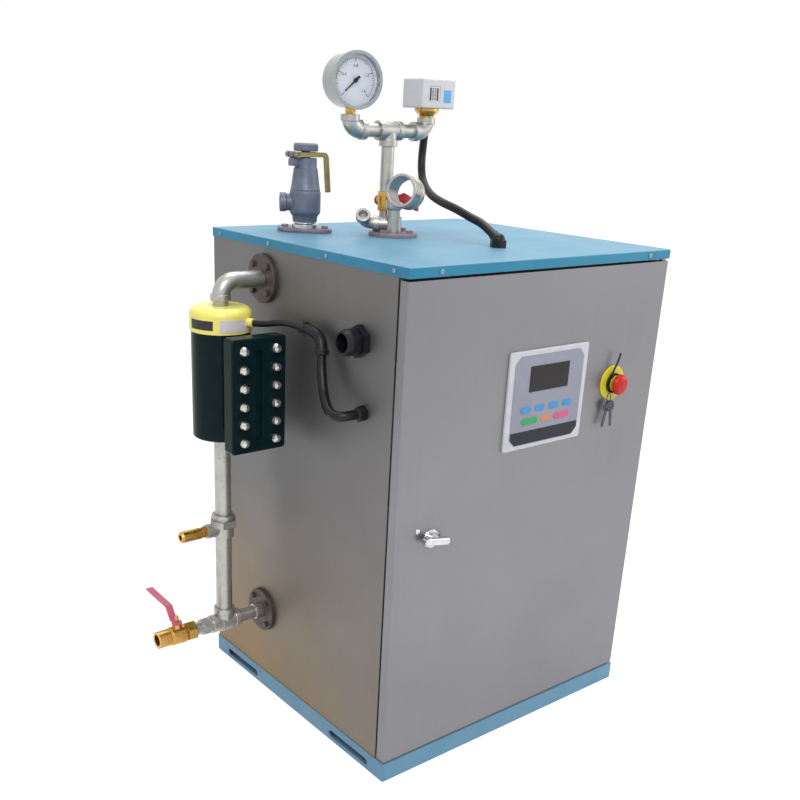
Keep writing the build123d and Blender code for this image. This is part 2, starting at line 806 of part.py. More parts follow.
def make_steam_cross():
    """The cross fitting on the steam flange, with a small branch and the gauge line's leg."""
    centre = Vector(steam_x, steam_y, cross_z)
    body = rod(Vector(steam_x, steam_y, lid_top), UP, cross_r, cross_h)
    body += rim(centre, branch_way(), branch_reach, branch_r + 3, branch_r)
    corner = Vector(line_x, line_y, cross_z)
    leg_r = pipe_r - 1
    body += rod(centre, (corner - centre).normalized(), leg_r, (corner - centre).length)
    body += Pos(corner) * Sphere(leg_r)
    body += rod(corner, UP, leg_r, gauge_valve_z - gauge_valve_len / 2 - cross_z)
    return body - bored(centre, branch_way(), branch_reach, branch_r)


def make_street_elbow():
    """The street elbow in the cross's branch, with its open mouth turned up to the front."""
    way = branch_way()
    mouth = mouth_way()
    corner = Vector(steam_x, steam_y, cross_z) + way * (branch_reach + street_bend)
    body = bend(corner, way * -1, mouth, street_bend, branch_r + 2)
    body += rod(corner - way * street_bend, way * -1, branch_r, socket)
    body += banded(corner + mouth * street_bend, mouth, branch_r)
    return body - rod(corner + mouth * (street_bend - 2), mouth, branch_r, band_len + 3)


def outlet_axis():
    """Direction in which the steam outlet's mouth points."""
    return Vector(sin(radians(outlet_turn)), -cos(radians(outlet_turn)), 0)


def make_outlet_tee():
    """The open steam outlet tee: a through run on a stem that stands on the cross."""
    along = outlet_axis()
    centre = Vector(steam_x, steam_y, outlet_z) + along * outlet_front
    start = centre - along * (outlet_len / 2)
    run = turned(start, along, [
        (outlet_r, 0), (outlet_r, band_len), (outlet_r - 3.5, band_len + 2), (outlet_r - 3.5, outlet_len - band_len - 2),
        (outlet_r, outlet_len - band_len), (outlet_r, outlet_len),
    ])
    stem_low = lid_top + cross_h
    stem = rod(Vector(steam_x, steam_y, stem_low), UP, pipe_r, outlet_z - stem_low)
    collar = rod(Vector(steam_x, steam_y, outlet_z - outlet_r - 4), UP, pipe_r + 3, 14)
    whole = run + stem + collar
    return whole - rod(start - along, along, outlet_bore, outlet_len + 2)


def make_gauge_valve():
    """The brass ball valve under the riser: two hexagon ends, a body and a stem to the back."""
    start = Vector(line_x, line_y, gauge_valve_z - gauge_valve_len / 2)
    end_h = 10
    body = hexagon(start, UP, 2 * gauge_valve_r, end_h)
    body += rod(start + UP * end_h, UP, gauge_valve_r, gauge_valve_len - 2 * end_h)
    body += hexagon(start + UP * (gauge_valve_len - end_h), UP, 2 * gauge_valve_r, end_h)
    middle = Vector(line_x, line_y, gauge_valve_z)
    body += rod(middle, BACK, 9, gauge_valve_r + 6)
    return body + rod(middle, BACK, 4, gauge_valve_r + gauge_stem_len)


def make_gauge_handle():
    """The red lever on the gauge valve, pressed from strip with a dished grip."""
    hub_y = line_y + gauge_valve_r + 6 + free
    centre = Vector(line_x, hub_y, gauge_valve_z)
    plane = Plane(origin=centre, x_dir=(1, 0, 0), z_dir=(0, 1, 0))
    reach = gauge_handle_len
    hub = plane * Circle(10)
    strip = plane * Rot(0, 0, -gauge_handle_dip) * Pos(reach / 2 - 4, 0) * SlotOverall(reach, 15)
    handle = extrude(hub, 4) + extrude(strip, 4)
    grip = plane * Rot(0, 0, -gauge_handle_dip) * Pos(reach - 28, 0) * SlotOverall(50, 21)
    handle += extrude(grip, 7)
    hole = rod(centre + FRONT, BACK, 4 + running, 9)
    return handle - hole


def make_riser():
    """The riser and the two crossbar nipples."""
    low = gauge_valve_z + gauge_valve_len / 2
    top = Vector(line_x, line_y, crossbar_z)
    riser = rod(Vector(line_x, line_y, low), UP, pipe_r, crossbar_z - tee_reach + socket - low)
    nipple_len = crossbar_reach - elbow_bend - band_len - tee_reach + 2 * socket
    left = rod(top + LEFT * (tee_reach - socket), LEFT, pipe_r, nipple_len)
    right = rod(top + RIGHT * (tee_reach - socket), RIGHT, pipe_r, nipple_len)
    return [riser, left, right]


def make_top_tee():
    """The tee that carries the crossbar."""
    centre = Vector(line_x, line_y, crossbar_z)
    body = Pos(centre) * Sphere(pipe_r + 3.5)
    for way in (LEFT, RIGHT, DOWN):
        body += rim(centre, way, tee_reach, pipe_r + 3.5, pipe_r)
    for way in (LEFT, RIGHT, DOWN):
        body -= bored(centre, way, tee_reach, pipe_r)
    return body


def make_crossbar_elbows():
    """The elbows at the crossbar's ends, turned up to the gauge and the switch."""
    elbows = []
    for way in (LEFT, RIGHT):
        corner = Vector(line_x, line_y, crossbar_z) + way * crossbar_reach
        body = bend(corner, way * -1, UP, elbow_bend, pipe_r + 3.5)
        inner = corner - way * elbow_bend
        body += banded(inner, way * -1, pipe_r)
        body += banded(Vector(corner.X, corner.Y, elbow_top - band_len), UP, pipe_r)
        body -= rod(inner - way * (band_len - socket), way * -1, pipe_r, socket + 1)
        elbows.append(body)
    return elbows


def gauge_facing():
    """Direction in which the gauge looks."""
    return Vector(sin(radians(gauge_turn)), -cos(radians(gauge_turn)), 0)


def gauge_centre():
    """Middle of the gauge's front, over the left elbow."""
    return Vector(line_x - crossbar_reach, line_y, gauge_z) + gauge_facing() * (gauge_depth / 2)


def make_gauge_stem():
    """The brass stem with its hexagon under the gauge."""
    start = Vector(line_x - crossbar_reach, line_y, elbow_top)
    stem = rod(start, UP, 10, 4)
    stem += hexagon(start + UP * 4, UP, 20, gauge_z - gauge_r - elbow_top)
    return stem - turned_case()


def turned_case():
    """The gauge case's outer solid."""
    start = gauge_centre()
    back = gauge_facing() * -1
    return turned(start, back, [
        (gauge_r + gauge_rim, 0), (gauge_r + gauge_rim, 8), (gauge_r, 10), (gauge_r, gauge_depth - 5),
        (gauge_r - 5, gauge_depth),
    ])


def make_gauge_case():
    """The drum case with its rim, open to the front."""
    start = gauge_centre() + gauge_facing()
    return turned_case() - rod(start, gauge_facing() * -1, gauge_r - gauge_wall, gauge_dial_in + gauge_dial_t + 1)


def make_gauge_dial():
    """The dial at the bottom of the case."""
    start = gauge_centre() - gauge_facing() * gauge_dial_in
    return rod(start, gauge_facing() * -1, gauge_r - gauge_wall, gauge_dial_t)


def make_gauge_needle():
    """The pointer with its hub and tail, on the dial."""
    facing = gauge_facing()
    start = gauge_centre() - facing * gauge_dial_in
    hub = rod(start, facing, 4, 5)
    across = Vector(cos(radians(gauge_turn)), sin(radians(gauge_turn)), 0)
    plane = Plane(origin=start + facing * 2.5, x_dir=across, z_dir=facing)
    pointer = [(-needle_tail, -2.6), (-needle_tail, 2.6), (0, 1.8), (needle_len, 0.4), (needle_len, -0.4), (0, -1.8)]
    blade = extrude(plane * Rot(0, 0, needle_angle) * make_face(Polyline(*pointer, close=True)), 1.5)
    return hub + blade


def make_gauge_glass():
    """The gauge's glass."""
    start = gauge_centre() - gauge_facing() * gauge_glass_in
    return rod(start, gauge_facing() * -1, gauge_r - gauge_wall, gauge_glass_t)


def make_switch_capsule():
    """The brass bellows capsule under the pressure switch."""
    start = Vector(line_x + crossbar_reach, line_y, elbow_top)
    rise = switch_z - elbow_top
    return turned(start, UP, [(15, 0), (15, 3), (24, rise - 7), (25, rise - 5), (25, rise)])


def make_switch_box():
    """The pressure switch's case with a scale window in front and its cable gland at the back."""
    x = line_x + crossbar_reach + switch_shift
    front = line_y - switch_d / 2
    back = line_y + switch_d / 2
    box = span(x - switch_w / 2, x + switch_w / 2, front, back, switch_z, switch_z + switch_h)
    box = fillet(box.edges(), 3)
    box -= span(x - 28, x + 4, front - 1, front + 1.2, switch_z + 12, switch_z + 42)
    spot = Vector(switch_gland_x, switch_gland_y, switch_z)
    gland = rod(spot + DOWN * 10, UP, switch_gland_r, 26)
    gland += span(spot.X - switch_gland_r, spot.X + switch_gland_r, back - 1, spot.Y, switch_z + 4, switch_z + 16)
    return box + gland


def corner_radii(points, least):
    """For each corner the largest arc that its two runs allow."""
    radii = []
    for before, here, after in zip(points, points[1:], points[2:]):
        inward = Vector(*here) - Vector(*before)
        outward = Vector(*after) - Vector(*here)
        turn = inward.get_angle(outward)
        shorter = min(inward.length, outward.length)
        radii.append(0.45 * shorter / tan(radians(turn / 2)))
    if min(radii) < least:
        print("tight bend", min(radii))
    return radii


def cable(name, points, radius):
    """A cable on straight runs joined by tangent arcs."""
    radii = corner_radii(points, 10 * radius)
    route = FilletPolyline(*points, radius=radii)
    start = Vector(*points[0])
    first = (Vector(*points[1]) - start).normalized()
    tube = sweep(Plane(origin=start, z_dir=first) * Circle(radius), route)
    print(name, "length", round(route.length), "radii", [round(r) for r in radii])
    return tube


def switch_cable_points():
    """The switch cable's route, from the switch's gland down to the lid's grommet."""
    start = (switch_gland_x, switch_gland_y, switch_z - 10)
    end = grommet_end()
    return [
        start,
        (switch_gland_x, switch_gland_y, switch_z - 38),
        (75, 151, 1176),
        (70, 148, 1137),
        (58, 128, 1104),
        (45, 88, 1080),
        (33, 38, 1068),
        (25, -20, 1059),
        (19, -72, 1046),
        tuple(end - grommet_way() * 46),
        tuple(end),
    ]


def grommet_way():
    """Direction in which the cable runs into the grommet."""
    flat = Vector(grommet_x - 16, grommet_y + 120, 0).normalized()
    return flat * cos(radians(grommet_tilt)) + DOWN * sin(radians(grommet_tilt))


def grommet_end():
    """Middle of the grommet's open end."""
    return Vector(grommet_x, grommet_y, height + grommet_h) - grommet_way() * grommet_len


def make_grommet():
    """The rubber gland on the lid: a hexagon, a dome and a sleeve towards the cable."""
    start = Vector(grommet_x, grommet_y, height)
    nut = hexagon(start, UP, 2 * grommet_r, grommet_h)
    nut += Pos(start + UP * grommet_h) * Sphere(grommet_r - 1)
    return nut + rod(start + UP * grommet_h, grommet_way() * -1, switch_cable_r + 2.5, grommet_len)


def make_side_pads():
    """The two flange pads on the left side, with their bolt heads."""
    pads = []
    for z in (level_high, level_low):
        start = Vector(-body_x, column_y, z)
        pad = turned(start, LEFT, [(side_pad_r, 0), (side_pad_r, side_pad_t - 1.5), (side_pad_r - 1.5, side_pad_t)])
        for spot in PolarLocations(side_pad_r - 12, 4, start_angle=45):
            place = Vector(start.X - side_pad_t, column_y + spot.position.X, z + spot.position.Y)
            pad += hexagon(place, LEFT, 12, 6)
        pads.append(pad)
    return pads


def make_upper_elbow():
    """The bent pipe from the upper pad down to the chamber's cap, and its nipple."""
    corner = Vector(column_x, column_y, level_high)
    pad_face = -body_x - side_pad_t
    body = rod(corner + RIGHT * column_bend, RIGHT, column_pipe_r, pad_face - column_x - column_bend)
    body += bend(corner, RIGHT, DOWN, column_bend, column_pipe_r)
    low = corner + DOWN * column_bend
    collar = rod(low + DOWN * 6, UP, column_pipe_r + 3, 12)
    return body + fillet(collar.edges().filter_by(GeomType.CIRCLE), 1.2)


def cap_top():
    """Height of the yellow cap's top."""
    return chamber_high + cap_h


def make_column_pipes():
    """The column's three pipes: cap to elbow, chamber to sampling tee, and on to the drain tee."""
    axis_x, axis_y = column_x, column_y
    nipple_low = cap_top()
    nipple = rod(Vector(axis_x, axis_y, nipple_low), UP, column_pipe_r - 2, level_high - column_bend - 6 - nipple_low)
    upper_low = sample_z + sample_len / 2 - socket
    upper = rod(Vector(axis_x, axis_y, upper_low), UP, column_pipe_r, chamber_low - upper_low)
    lower_low = level_low + drain_reach - socket
    lower = rod(Vector(axis_x, axis_y, lower_low), UP, column_pipe_r, sample_z - sample_len / 2 + socket - lower_low)
    return [nipple, upper, lower]


def make_float_cap():
    """The yellow domed cap over the float head."""
    start = Vector(column_x, column_y, chamber_high)
    cap = rod(start, UP, cap_r, cap_h)
    cap = fillet(cap.faces().sort_by(Axis.Z)[-1].edges(), cap_round)
    middle = Vector(column_x, column_y, cap_gland_z)
    cap += rod(middle, cap_gland_way(), level_cable_r + 3.5, cap_r + cap_gland_len)
    return cap - rod(start + DOWN, UP, chamber_r - 8, cap_h - 12)


def cap_gland_way():
    """Direction in which the level cable leaves the cap."""
    return Vector(cos(radians(cap_gland_turn)), sin(radians(cap_gland_turn)), 0)


def make_chamber():
    """The level chamber's casting: round body, neck and the flange for the bolted cover."""
    start = Vector(column_x, column_y, chamber_low)
    tall = chamber_high - chamber_low
    body = rod(start, UP, chamber_r, tall)
    body = fillet(body.faces().sort_by(Axis.Z)[0].edges(), 5)
    flange_back = cover_y + cover_t + body_flange_t
    neck = span(column_x - neck_w / 2, column_x + neck_w / 2, flange_back - 1, column_y,
                chamber_low + 12, chamber_high - 6)
    flange = span(column_x - cover_w / 2, column_x + cover_w / 2, cover_y + cover_t, flange_back,
                  cover_low, cover_high)
    flange = fillet(flange.edges().filter_by(Axis.Y), 6)
    whole = body + neck + flange
    hollow = rod(start + UP * chamber_wall, UP, chamber_r - chamber_wall, tall)
    hollow += span(column_x - neck_w / 2 + chamber_wall, column_x + neck_w / 2 - chamber_wall,
                   cover_y + cover_t - 1, column_y, chamber_low + 24, chamber_high - 18)
    return whole - hollow


def make_cover():
    """The bolted cover with its long sight recess."""
    cover = span(column_x - cover_w / 2, column_x + cover_w / 2, cover_y, cover_y + cover_t, cover_low, cover_high)
    cover = fillet(cover.edges().filter_by(Axis.Y), 6)
    cover = chamfer(cover.faces().sort_by(Axis.Y)[0].edges(), 2)
    middle = (cover_low + cover_high) / 2
    plane = Plane(origin=(column_x, cover_y - 1, middle), x_dir=(0, 0, 1), z_dir=(0, 1, 0))
    return cover - extrude(plane * SlotOverall(cover_high - cover_low - 44, sight_w), sight_deep + 1)


def make_cover_bolts():
    """Two columns of studs: a domed nut in front and the stud's end with its nut behind."""
    bolts = []
    middle = (cover_low + cover_high) / 2
    flange_back = cover_y + cover_t + body_flange_t
    for side in (-1, 1):
        for row in range(bolt_rows):
            x = column_x + side * bolt_spread / 2
            z = middle + (row - (bolt_rows - 1) / 2) * bolt_pitch
            front = turned(Vector(x, cover_y, z), FRONT, [
                (bolt_r, 0), (bolt_r, 5), (bolt_r * 0.75, 5 + bolt_dome * 0.7), (0, 5 + bolt_dome),
            ])
            back = hexagon(Vector(x, flange_back, z), BACK, 15, 8)
            back += rod(Vector(x, flange_back, z), BACK, stud_r, stud_out)
            bolts += [front, back]
    return bolts


def make_sample_tee():
    """The sampling tee in the column, with its union nut and the left port."""
    centre = Vector(column_x, column_y, sample_z)
    half = sample_len / 2
    body = rod(centre + DOWN * half, UP, column_pipe_r + 5, sample_len)
    body += hexagon(centre + DOWN * 2, UP, 2 * sample_r, 15)
    body += turned(centre + UP * (half - 8), UP, [(column_pipe_r + 7, 0), (column_pipe_r + 7, 6), (column_pipe_r + 5, 8)])
    body += rod(centre + DOWN * 8, LEFT, cock_r + 3, sample_reach)
    body -= rod(centre + UP * (half - socket), UP, column_pipe_r, socket + 1)
    return body - rod(centre + DOWN * (half + 1), UP, column_pipe_r, socket + 1)


def make_sample_cock():
    """The brass sampling cock: a hexagon, a barrel and its open end."""
    start = Vector(column_x - sample_reach, column_y, sample_z - 8)
    cock = hexagon(start, LEFT, 2 * cock_r - 2, 10)
    cock += turned(start + LEFT * 10, LEFT, [
        (cock_r - 3, 0), (cock_r, 4), (cock_r, cock_len - 14), (cock_r - 1.5, cock_len - 10),
    ])
    return cock - rod(start + LEFT * (cock_len + 1), RIGHT, cock_bore, 22)


def make_drain_tee():
    """The drain tee under the column, with the pipe from the lower pad and the coupling to the valve."""
    centre = Vector(column_x, column_y, level_low)
    body = rod(centre + LEFT * 12, RIGHT, drain_fit_r, 24)
    body += rim(centre, UP, drain_reach, drain_fit_r - 1, column_pipe_r)
    body += rim(centre, LEFT, drain_reach, drain_fit_r - 2, column_pipe_r - 3)
    body += rim(centre, RIGHT, drain_reach, drain_fit_r - 2, column_pipe_r - 3)
    pad_face = -body_x - side_pad_t
    cross = rod(centre + RIGHT * drain_reach, RIGHT, column_pipe_r - 3, pad_face - column_x - drain_reach)
    collar = rod(Vector(pad_face - 16, column_y, level_low), RIGHT, column_pipe_r, 16)
    nipple_len_x = column_x - drain_reach - drain_valve_x
    nipple = rod(centre + LEFT * drain_reach, LEFT, column_pipe_r - 3, nipple_len_x)
    nipple += hexagon(centre + LEFT * (drain_reach + 8), LEFT, 2 * column_pipe_r, 14)
    whole = body + cross + collar + nipple
    return whole - bored(centre, UP, drain_reach, column_pipe_r)


def make_drain_valve():
    """The brass ball valve with hexagon ends, an open outlet and the stem on top."""
    start = Vector(drain_valve_x, column_y, level_low)
    valve = hexagon(start, LEFT, 2 * drain_valve_r - 3, 20)
    valve += turned(start + LEFT * 20, LEFT, [
        (drain_valve_r - 4, 0), (drain_valve_r, 5), (drain_valve_r, 35), (drain_valve_r - 4, 40),
    ])
    valve += rod(start + LEFT * 60, LEFT, drain_valve_r - 2, drain_valve_len - 60)
    valve -= rod(start + LEFT * (drain_valve_len + 1), RIGHT, drain_bore, 30)
    axis = Vector(drain_stem_x(), column_y, level_low)
    valve += rod(axis, UP, drain_stem_r + 3, drain_valve_r + 6)
    return valve + rod(axis, UP, 4, drain_valve_r + drain_stem_len)


def drain_stem_x():
    """Place of the drain valve's stem."""
    return drain_valve_x - 40


def make_drain_lever():
    """The drain lever: strip cranked upwards, then level, pointing back while the valve is shut."""
    z = level_low + drain_valve_r + 6 + free + drain_handle_t / 2
    high = z + drain_handle_rise
    start = (0, 0, z)
    path = FilletPolyline(start, (0, 16, z), (0, 34, high), (0, drain_handle_len, high + 4), radius=7)
    profile = Plane(origin=start, x_dir=(1, 0, 0), z_dir=(0, 1, 0)) * Rectangle(drain_handle_w, drain_handle_t)
    strip = sweep(profile, path)
    hub = rod(Vector(0, 0, z - drain_handle_t / 2), UP, 11, drain_handle_t)
    hole = rod(Vector(0, 0, z - drain_handle_t), UP, 4 + running, 2 * drain_handle_t)
    return Pos(drain_stem_x(), column_y, 0) * (strip + hub - hole)


def level_cable_points():
    """The level cable's route, from the yellow cap along the side to its gland."""
    way = cap_gland_way()
    start = Vector(column_x, column_y, cap_gland_z) + way * (cap_r + cap_gland_len)
    end = Vector(-body_x - gland_len, gland_y, gland_z)
    return [
        tuple(start),
        tuple(start + way * 22),
        (-386, -2, 859),
        (-379, -42, 858),
        (-375, -76, 857),
        (-374, -98, 854),
        (-374, -112, 842),
        (-376, -118, 824),
        (-382, -127, 792),
        (-389, -144, 757),
        (-398, -168, 736),
        (-403, -190, 728),
        (-394, -206, 727),
        tuple(end + LEFT * 14),
        tuple(end),
    ]


def make_gland():
    """The small cable gland on the left side."""
    start = Vector(-body_x, gland_y, gland_z)
    gland = hexagon(start, LEFT, 2 * gland_r - 2, gland_len - 6)
    gland += turned(start + LEFT * (gland_len - 6), LEFT, [(gland_r - 2, 0), (gland_r - 2, 3), (gland_r - 6, 6)])
    return gland


def make_power_gland():
    """The large open gland for the power lead: a nut against the side and a ribbed, flared sleeve."""
    start = Vector(-body_x, power_y, power_z)
    gland = hexagon(start, LEFT, 2 * power_r + 2, 12)
    gland += turned(start + LEFT * 12, LEFT, [
        (power_r - 3, 0), (power_r - 1, 6), (power_r - 1, 20), (power_r - 4, power_len - 12),
    ])
    return gland - rod(start + LEFT * (power_len + 1), RIGHT, power_bore, power_len + 2)


def write(name, shape):
    """Writes one sub-part, a solid or a list of solids."""
    solids = shape if isinstance(shape, list) else [shape]
    flat = [s for piece in solids for s in piece.solids()]
    whole = flat[0] if len(flat) == 1 else Compound(children=flat)
    export_step(whole, "parts/" + name + ".step")


os.makedirs("parts", exist_ok=True)

write("base_plinth", make_plinth())
write("left_side_panel", make_left_panel())
write("right_side_panel", make_right_panel())
write("back_panel", make_back_panel())
write("front_frame", make_front_frame())
write("lid", make_lid())
write("frame_hinges", make_frame_hinges())

write("door_panel", make_door())
write("door_hinges", make_door_hinges())
write("latch_body", make_latch_body())
write("latch_knob", make_latch_knob())
write("panel_frame", make_panel_frame())
write("panel_face", make_panel_face())
write("display_window", make_display())
write("membrane_keys", make_keys())
write("controller_box", make_controller())
write("estop_collar", make_stop_collar())
write("estop_button", make_stop_button())

write("boiler_vessel", make_vessel())
write("heater_head", make_heater_head())
write("mounting_plate", make_gear_plate())
write("switchgear", make_switchgear())

write("safety_flange", lid_pad(safety_x, safety_y, pad_r, 45.0))
write("safety_nipple", make_safety_nipple())
write("safety_valve_body", make_safety_body())
write("safety_valve_cap", make_safety_cap())
write("safety_valve_lever", make_safety_lever())

write("steam_flange", lid_pad(steam_x, steam_y, steam_pad_r, 20.0))
write("steam_cross", make_steam_cross())
write("street_elbow", make_street_elbow())
write("steam_outlet_tee", make_outlet_tee())
write("gauge_valve_body", make_gauge_valve())
write("gauge_valve_lever", make_gauge_handle())
write("riser_pipes", make_riser())
write("top_tee", make_top_tee())
write("crossbar_elbows", make_crossbar_elbows())
write("gauge_stem", make_gauge_stem())
write("gauge_case", make_gauge_case())
write("gauge_dial", make_gauge_dial())
write("gauge_needle", make_gauge_needle())
write("gauge_glass", make_gauge_glass())
write("switch_capsule", make_switch_capsule())
write("switch_box", make_switch_box())
write("switch_cable", cable("switch_cable", switch_cable_points(), switch_cable_r))
write("lid_grommet", make_grommet())

write("side_flanges", make_side_pads())
write("upper_level_elbow", make_upper_elbow())
write("column_pipes", make_column_pipes())
write("float_cap", make_float_cap())
write("level_chamber", make_chamber())
write("level_cover", make_cover())
write("level_bolts", make_cover_bolts())
write("sample_tee", make_sample_tee())
write("sample_cock", make_sample_cock())
write("drain_tee", make_drain_tee())
write("drain_valve_body", make_drain_valve())
write("drain_lever", make_drain_lever())
write("level_cable", cable("level_cable", level_cable_points(), level_cable_r))
write("cable_gland", make_gland())
write("power_gland", make_power_gland())
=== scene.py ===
import json
from math import cos, radians, sin

import bmesh
import bpy
from mathutils import Matrix, Vector

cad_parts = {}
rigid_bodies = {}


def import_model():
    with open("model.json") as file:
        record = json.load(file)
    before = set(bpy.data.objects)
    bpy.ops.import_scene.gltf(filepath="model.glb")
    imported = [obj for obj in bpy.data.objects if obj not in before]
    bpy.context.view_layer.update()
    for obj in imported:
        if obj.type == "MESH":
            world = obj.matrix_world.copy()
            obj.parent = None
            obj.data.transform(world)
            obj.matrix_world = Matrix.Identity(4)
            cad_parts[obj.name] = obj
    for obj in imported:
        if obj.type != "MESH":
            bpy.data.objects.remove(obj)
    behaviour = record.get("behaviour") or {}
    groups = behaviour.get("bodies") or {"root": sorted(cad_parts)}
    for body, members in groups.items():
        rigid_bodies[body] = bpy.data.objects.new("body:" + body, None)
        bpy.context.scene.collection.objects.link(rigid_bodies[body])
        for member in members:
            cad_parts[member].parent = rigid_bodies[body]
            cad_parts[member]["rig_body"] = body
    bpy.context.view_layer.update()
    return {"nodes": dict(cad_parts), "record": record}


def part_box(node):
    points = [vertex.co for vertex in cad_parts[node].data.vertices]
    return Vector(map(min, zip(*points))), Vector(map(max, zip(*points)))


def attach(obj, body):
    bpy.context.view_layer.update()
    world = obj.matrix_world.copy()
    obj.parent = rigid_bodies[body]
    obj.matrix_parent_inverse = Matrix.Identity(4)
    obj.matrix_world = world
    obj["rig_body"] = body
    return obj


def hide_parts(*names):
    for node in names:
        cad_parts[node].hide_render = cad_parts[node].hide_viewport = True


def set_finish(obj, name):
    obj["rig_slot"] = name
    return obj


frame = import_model()
nodes = frame["nodes"]

RIGHT = Vector((1, 0, 0))
FRONT = Vector((0, -1, 0))
BACK = Vector((0, 1, 0))
UP = Vector((0, 0, 1))
DOWN = Vector((0, 0, -1))
mm = 0.001


# The camera of the photograph

def make_camera():
    """The photo's view in metres: the camera's place, the way it looks, its roll and its shifted lens."""
    place = Vector((-1.40586, -1.54143, 1.21999))
    forward = Vector((0.58849, 0.72814, -0.35142))
    roll = Matrix.Rotation(radians(2.45), 3, "Z")
    data = bpy.data.cameras.new("camera")
    data.sensor_width = 36.0
    data.lens = 44.222
    data.shift_x = 0.04055
    data.shift_y = 0.11254
    camera = bpy.data.objects.new("camera", data)
    bpy.context.scene.collection.objects.link(camera)
    level = forward.to_track_quat("-Z", "Y").to_matrix()
    camera.matrix_world = Matrix.Translation(place) @ (level @ roll).to_4x4()
    bpy.context.scene.camera = camera


make_camera()


# Cables

def cable(name, route, radius):
    """A smooth curve along a route in millimetres."""
    data = bpy.data.curves.new(name, "CURVE")
    data.dimensions = "3D"
    data.bevel_depth = 1.0
    data.bevel_resolution = 8
    data.resolution_u = 16
    data.use_fill_caps = True
    line = data.splines.new("NURBS")
    line.points.add(len(route) - 1)
    for spot, (x, y, z) in zip(line.points, route):
        spot.co = (x * mm, y * mm, z * mm, 1.0)
        spot.radius = radius * mm
    line.order_u = 3
    line.use_endpoint_u = True
    thing = bpy.data.objects.new(name, data)
    bpy.context.scene.collection.objects.link(thing)
    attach(thing, "boiler")
    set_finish(thing, "cable_black")
    return thing


switch_route = [
    (77, 149, 1239), (77, 149, 1211), (75, 151, 1176), (70, 148, 1137), (58, 128, 1104), (45, 88, 1080),
    (33, 38, 1068), (25, -20, 1059), (19, -72, 1046), (19.3, -105.3, 1038.7), (10.0, -146.9, 1021.5),
]
level_route = [
    (-413.7, 53.5, 850), (-403.4, 34.1, 850), (-386, -2, 859), (-379, -42, 858), (-375, -76, 857),
    (-374, -98, 854), (-374, -112, 842), (-376, -118, 824), (-382, -127, 792), (-389, -144, 757),
    (-398, -168, 736), (-403, -190, 728), (-394, -206, 727), (-380, -212, 729), (-366, -212, 729),
]
switch_cord = cable("switch_cord", switch_route, radius=8.5)
level_cord = cable("level_cord", level_route, radius=6.0)


# Wiring of the shaders

def tone(r, g, b):
    """A colour given as it is seen, 0 to 255, in linear light."""
    def linear(v):
        v /= 255
        return v / 12.92 if v <= 0.04045 else ((v + 0.055) / 1.055) ** 2.4
    return (linear(r), linear(g), linear(b), 1.0)


class Wiring:
    """Adds nodes to one tree and joins them."""

    def __init__(self, tree):
        self.tree = tree

    def node(self, kind, **inputs):
        node = self.tree.nodes.new(kind)
        for name, value in inputs.items():
            self.link(value, node.inputs[name.replace("_", " ")])
        return node

    def link(self, value, socket):
        if isinstance(value, bpy.types.NodeSocket):
            self.tree.links.new(value, socket)
        else:
            socket.default_value = value

    def stretched(self, place, scale):
        node = self.node("ShaderNodeMapping", Vector=place)
        node.inputs["Scale"].default_value = scale
        return node.outputs["Vector"]

    def noise(self, place, scale, detail=3.0, distortion=0.0):
        node = self.node("ShaderNodeTexNoise", Vector=place, Scale=scale, Detail=detail,
                         Distortion=distortion)
        return node.outputs["Fac"]

    def softened(self, radius):
        """The normal with its edges rounded over a radius in metres."""
        node = self.node("ShaderNodeBevel", Radius=radius)
        node.samples = 4
        return node.outputs["Normal"]

    def span(self, value, low, high, out_low, out_high):
        node = self.node("ShaderNodeMapRange", Value=value)
        ends = {"From Min": low, "From Max": high, "To Min": out_low, "To Max": out_high}
        for name, number in ends.items():
            self.link(number, node.inputs[name])
        return node.outputs["Result"]

    def math(self, operation, a, b=0.0):
        node = self.node("ShaderNodeMath")
        node.operation = operation
        self.link(a, node.inputs[0])
        self.link(b, node.inputs[1])
        return node.outputs[0]

    def times(self, *factors):
        result = factors[0]
        for factor in factors[1:]:
            result = self.math("MULTIPLY", result, factor)
        return result

    def blend(self, factor, a, b):
        node = self.node("ShaderNodeMix")
        node.data_type = "RGBA"
        self.link(factor, node.inputs[0])
        self.link(a, node.inputs[6])
        self.link(b, node.inputs[7])
        return node.outputs[2]


# Effects that the finishes share

FLOAT, COLOUR, VECTOR = "NodeSocketFloat", "NodeSocketColor", "NodeSocketVector"


def new_effect(name, told, kind, **given):
    """An empty effect: its wiring, its inputs, and the socket of its one output."""
    tree = bpy.data.node_groups.new(name, "ShaderNodeTree")
    tree.interface.new_socket(name="Place", in_out="INPUT", socket_type=VECTOR)
    for label, socket in given.items():
        tree.interface.new_socket(name=label, in_out="INPUT", socket_type=socket)
    tree.interface.new_socket(name=told, in_out="OUTPUT", socket_type=kind)
    inlet = tree.nodes.new("NodeGroupInput")
    outlet = tree.nodes.new("NodeGroupOutput")
    return Wiring(tree), inlet.outputs, outlet.inputs[told]


def make_two_tones():
    """Soft patches of two tones."""
    work, given, colour = new_effect("two_tones", "Colour", COLOUR, Size=FLOAT, First=COLOUR, Second=COLOUR)
    patches = work.noise(given["Place"], given["Size"], detail=4.0)
    share = work.span(patches, 0.36, 0.64, 0.0, 1.0)
    work.link(work.blend(share, given["First"], given["Second"]), colour)


def make_uneven_gloss():
    """A value that wanders between the least and the most."""
    work, given, value = new_effect("uneven_gloss", "Value", FLOAT, Size=FLOAT, Least=FLOAT, Most=FLOAT)
    patches = work.noise(given["Place"], given["Size"])
    work.link(work.span(patches, 0.3, 0.7, given["Least"], given["Most"]), value)


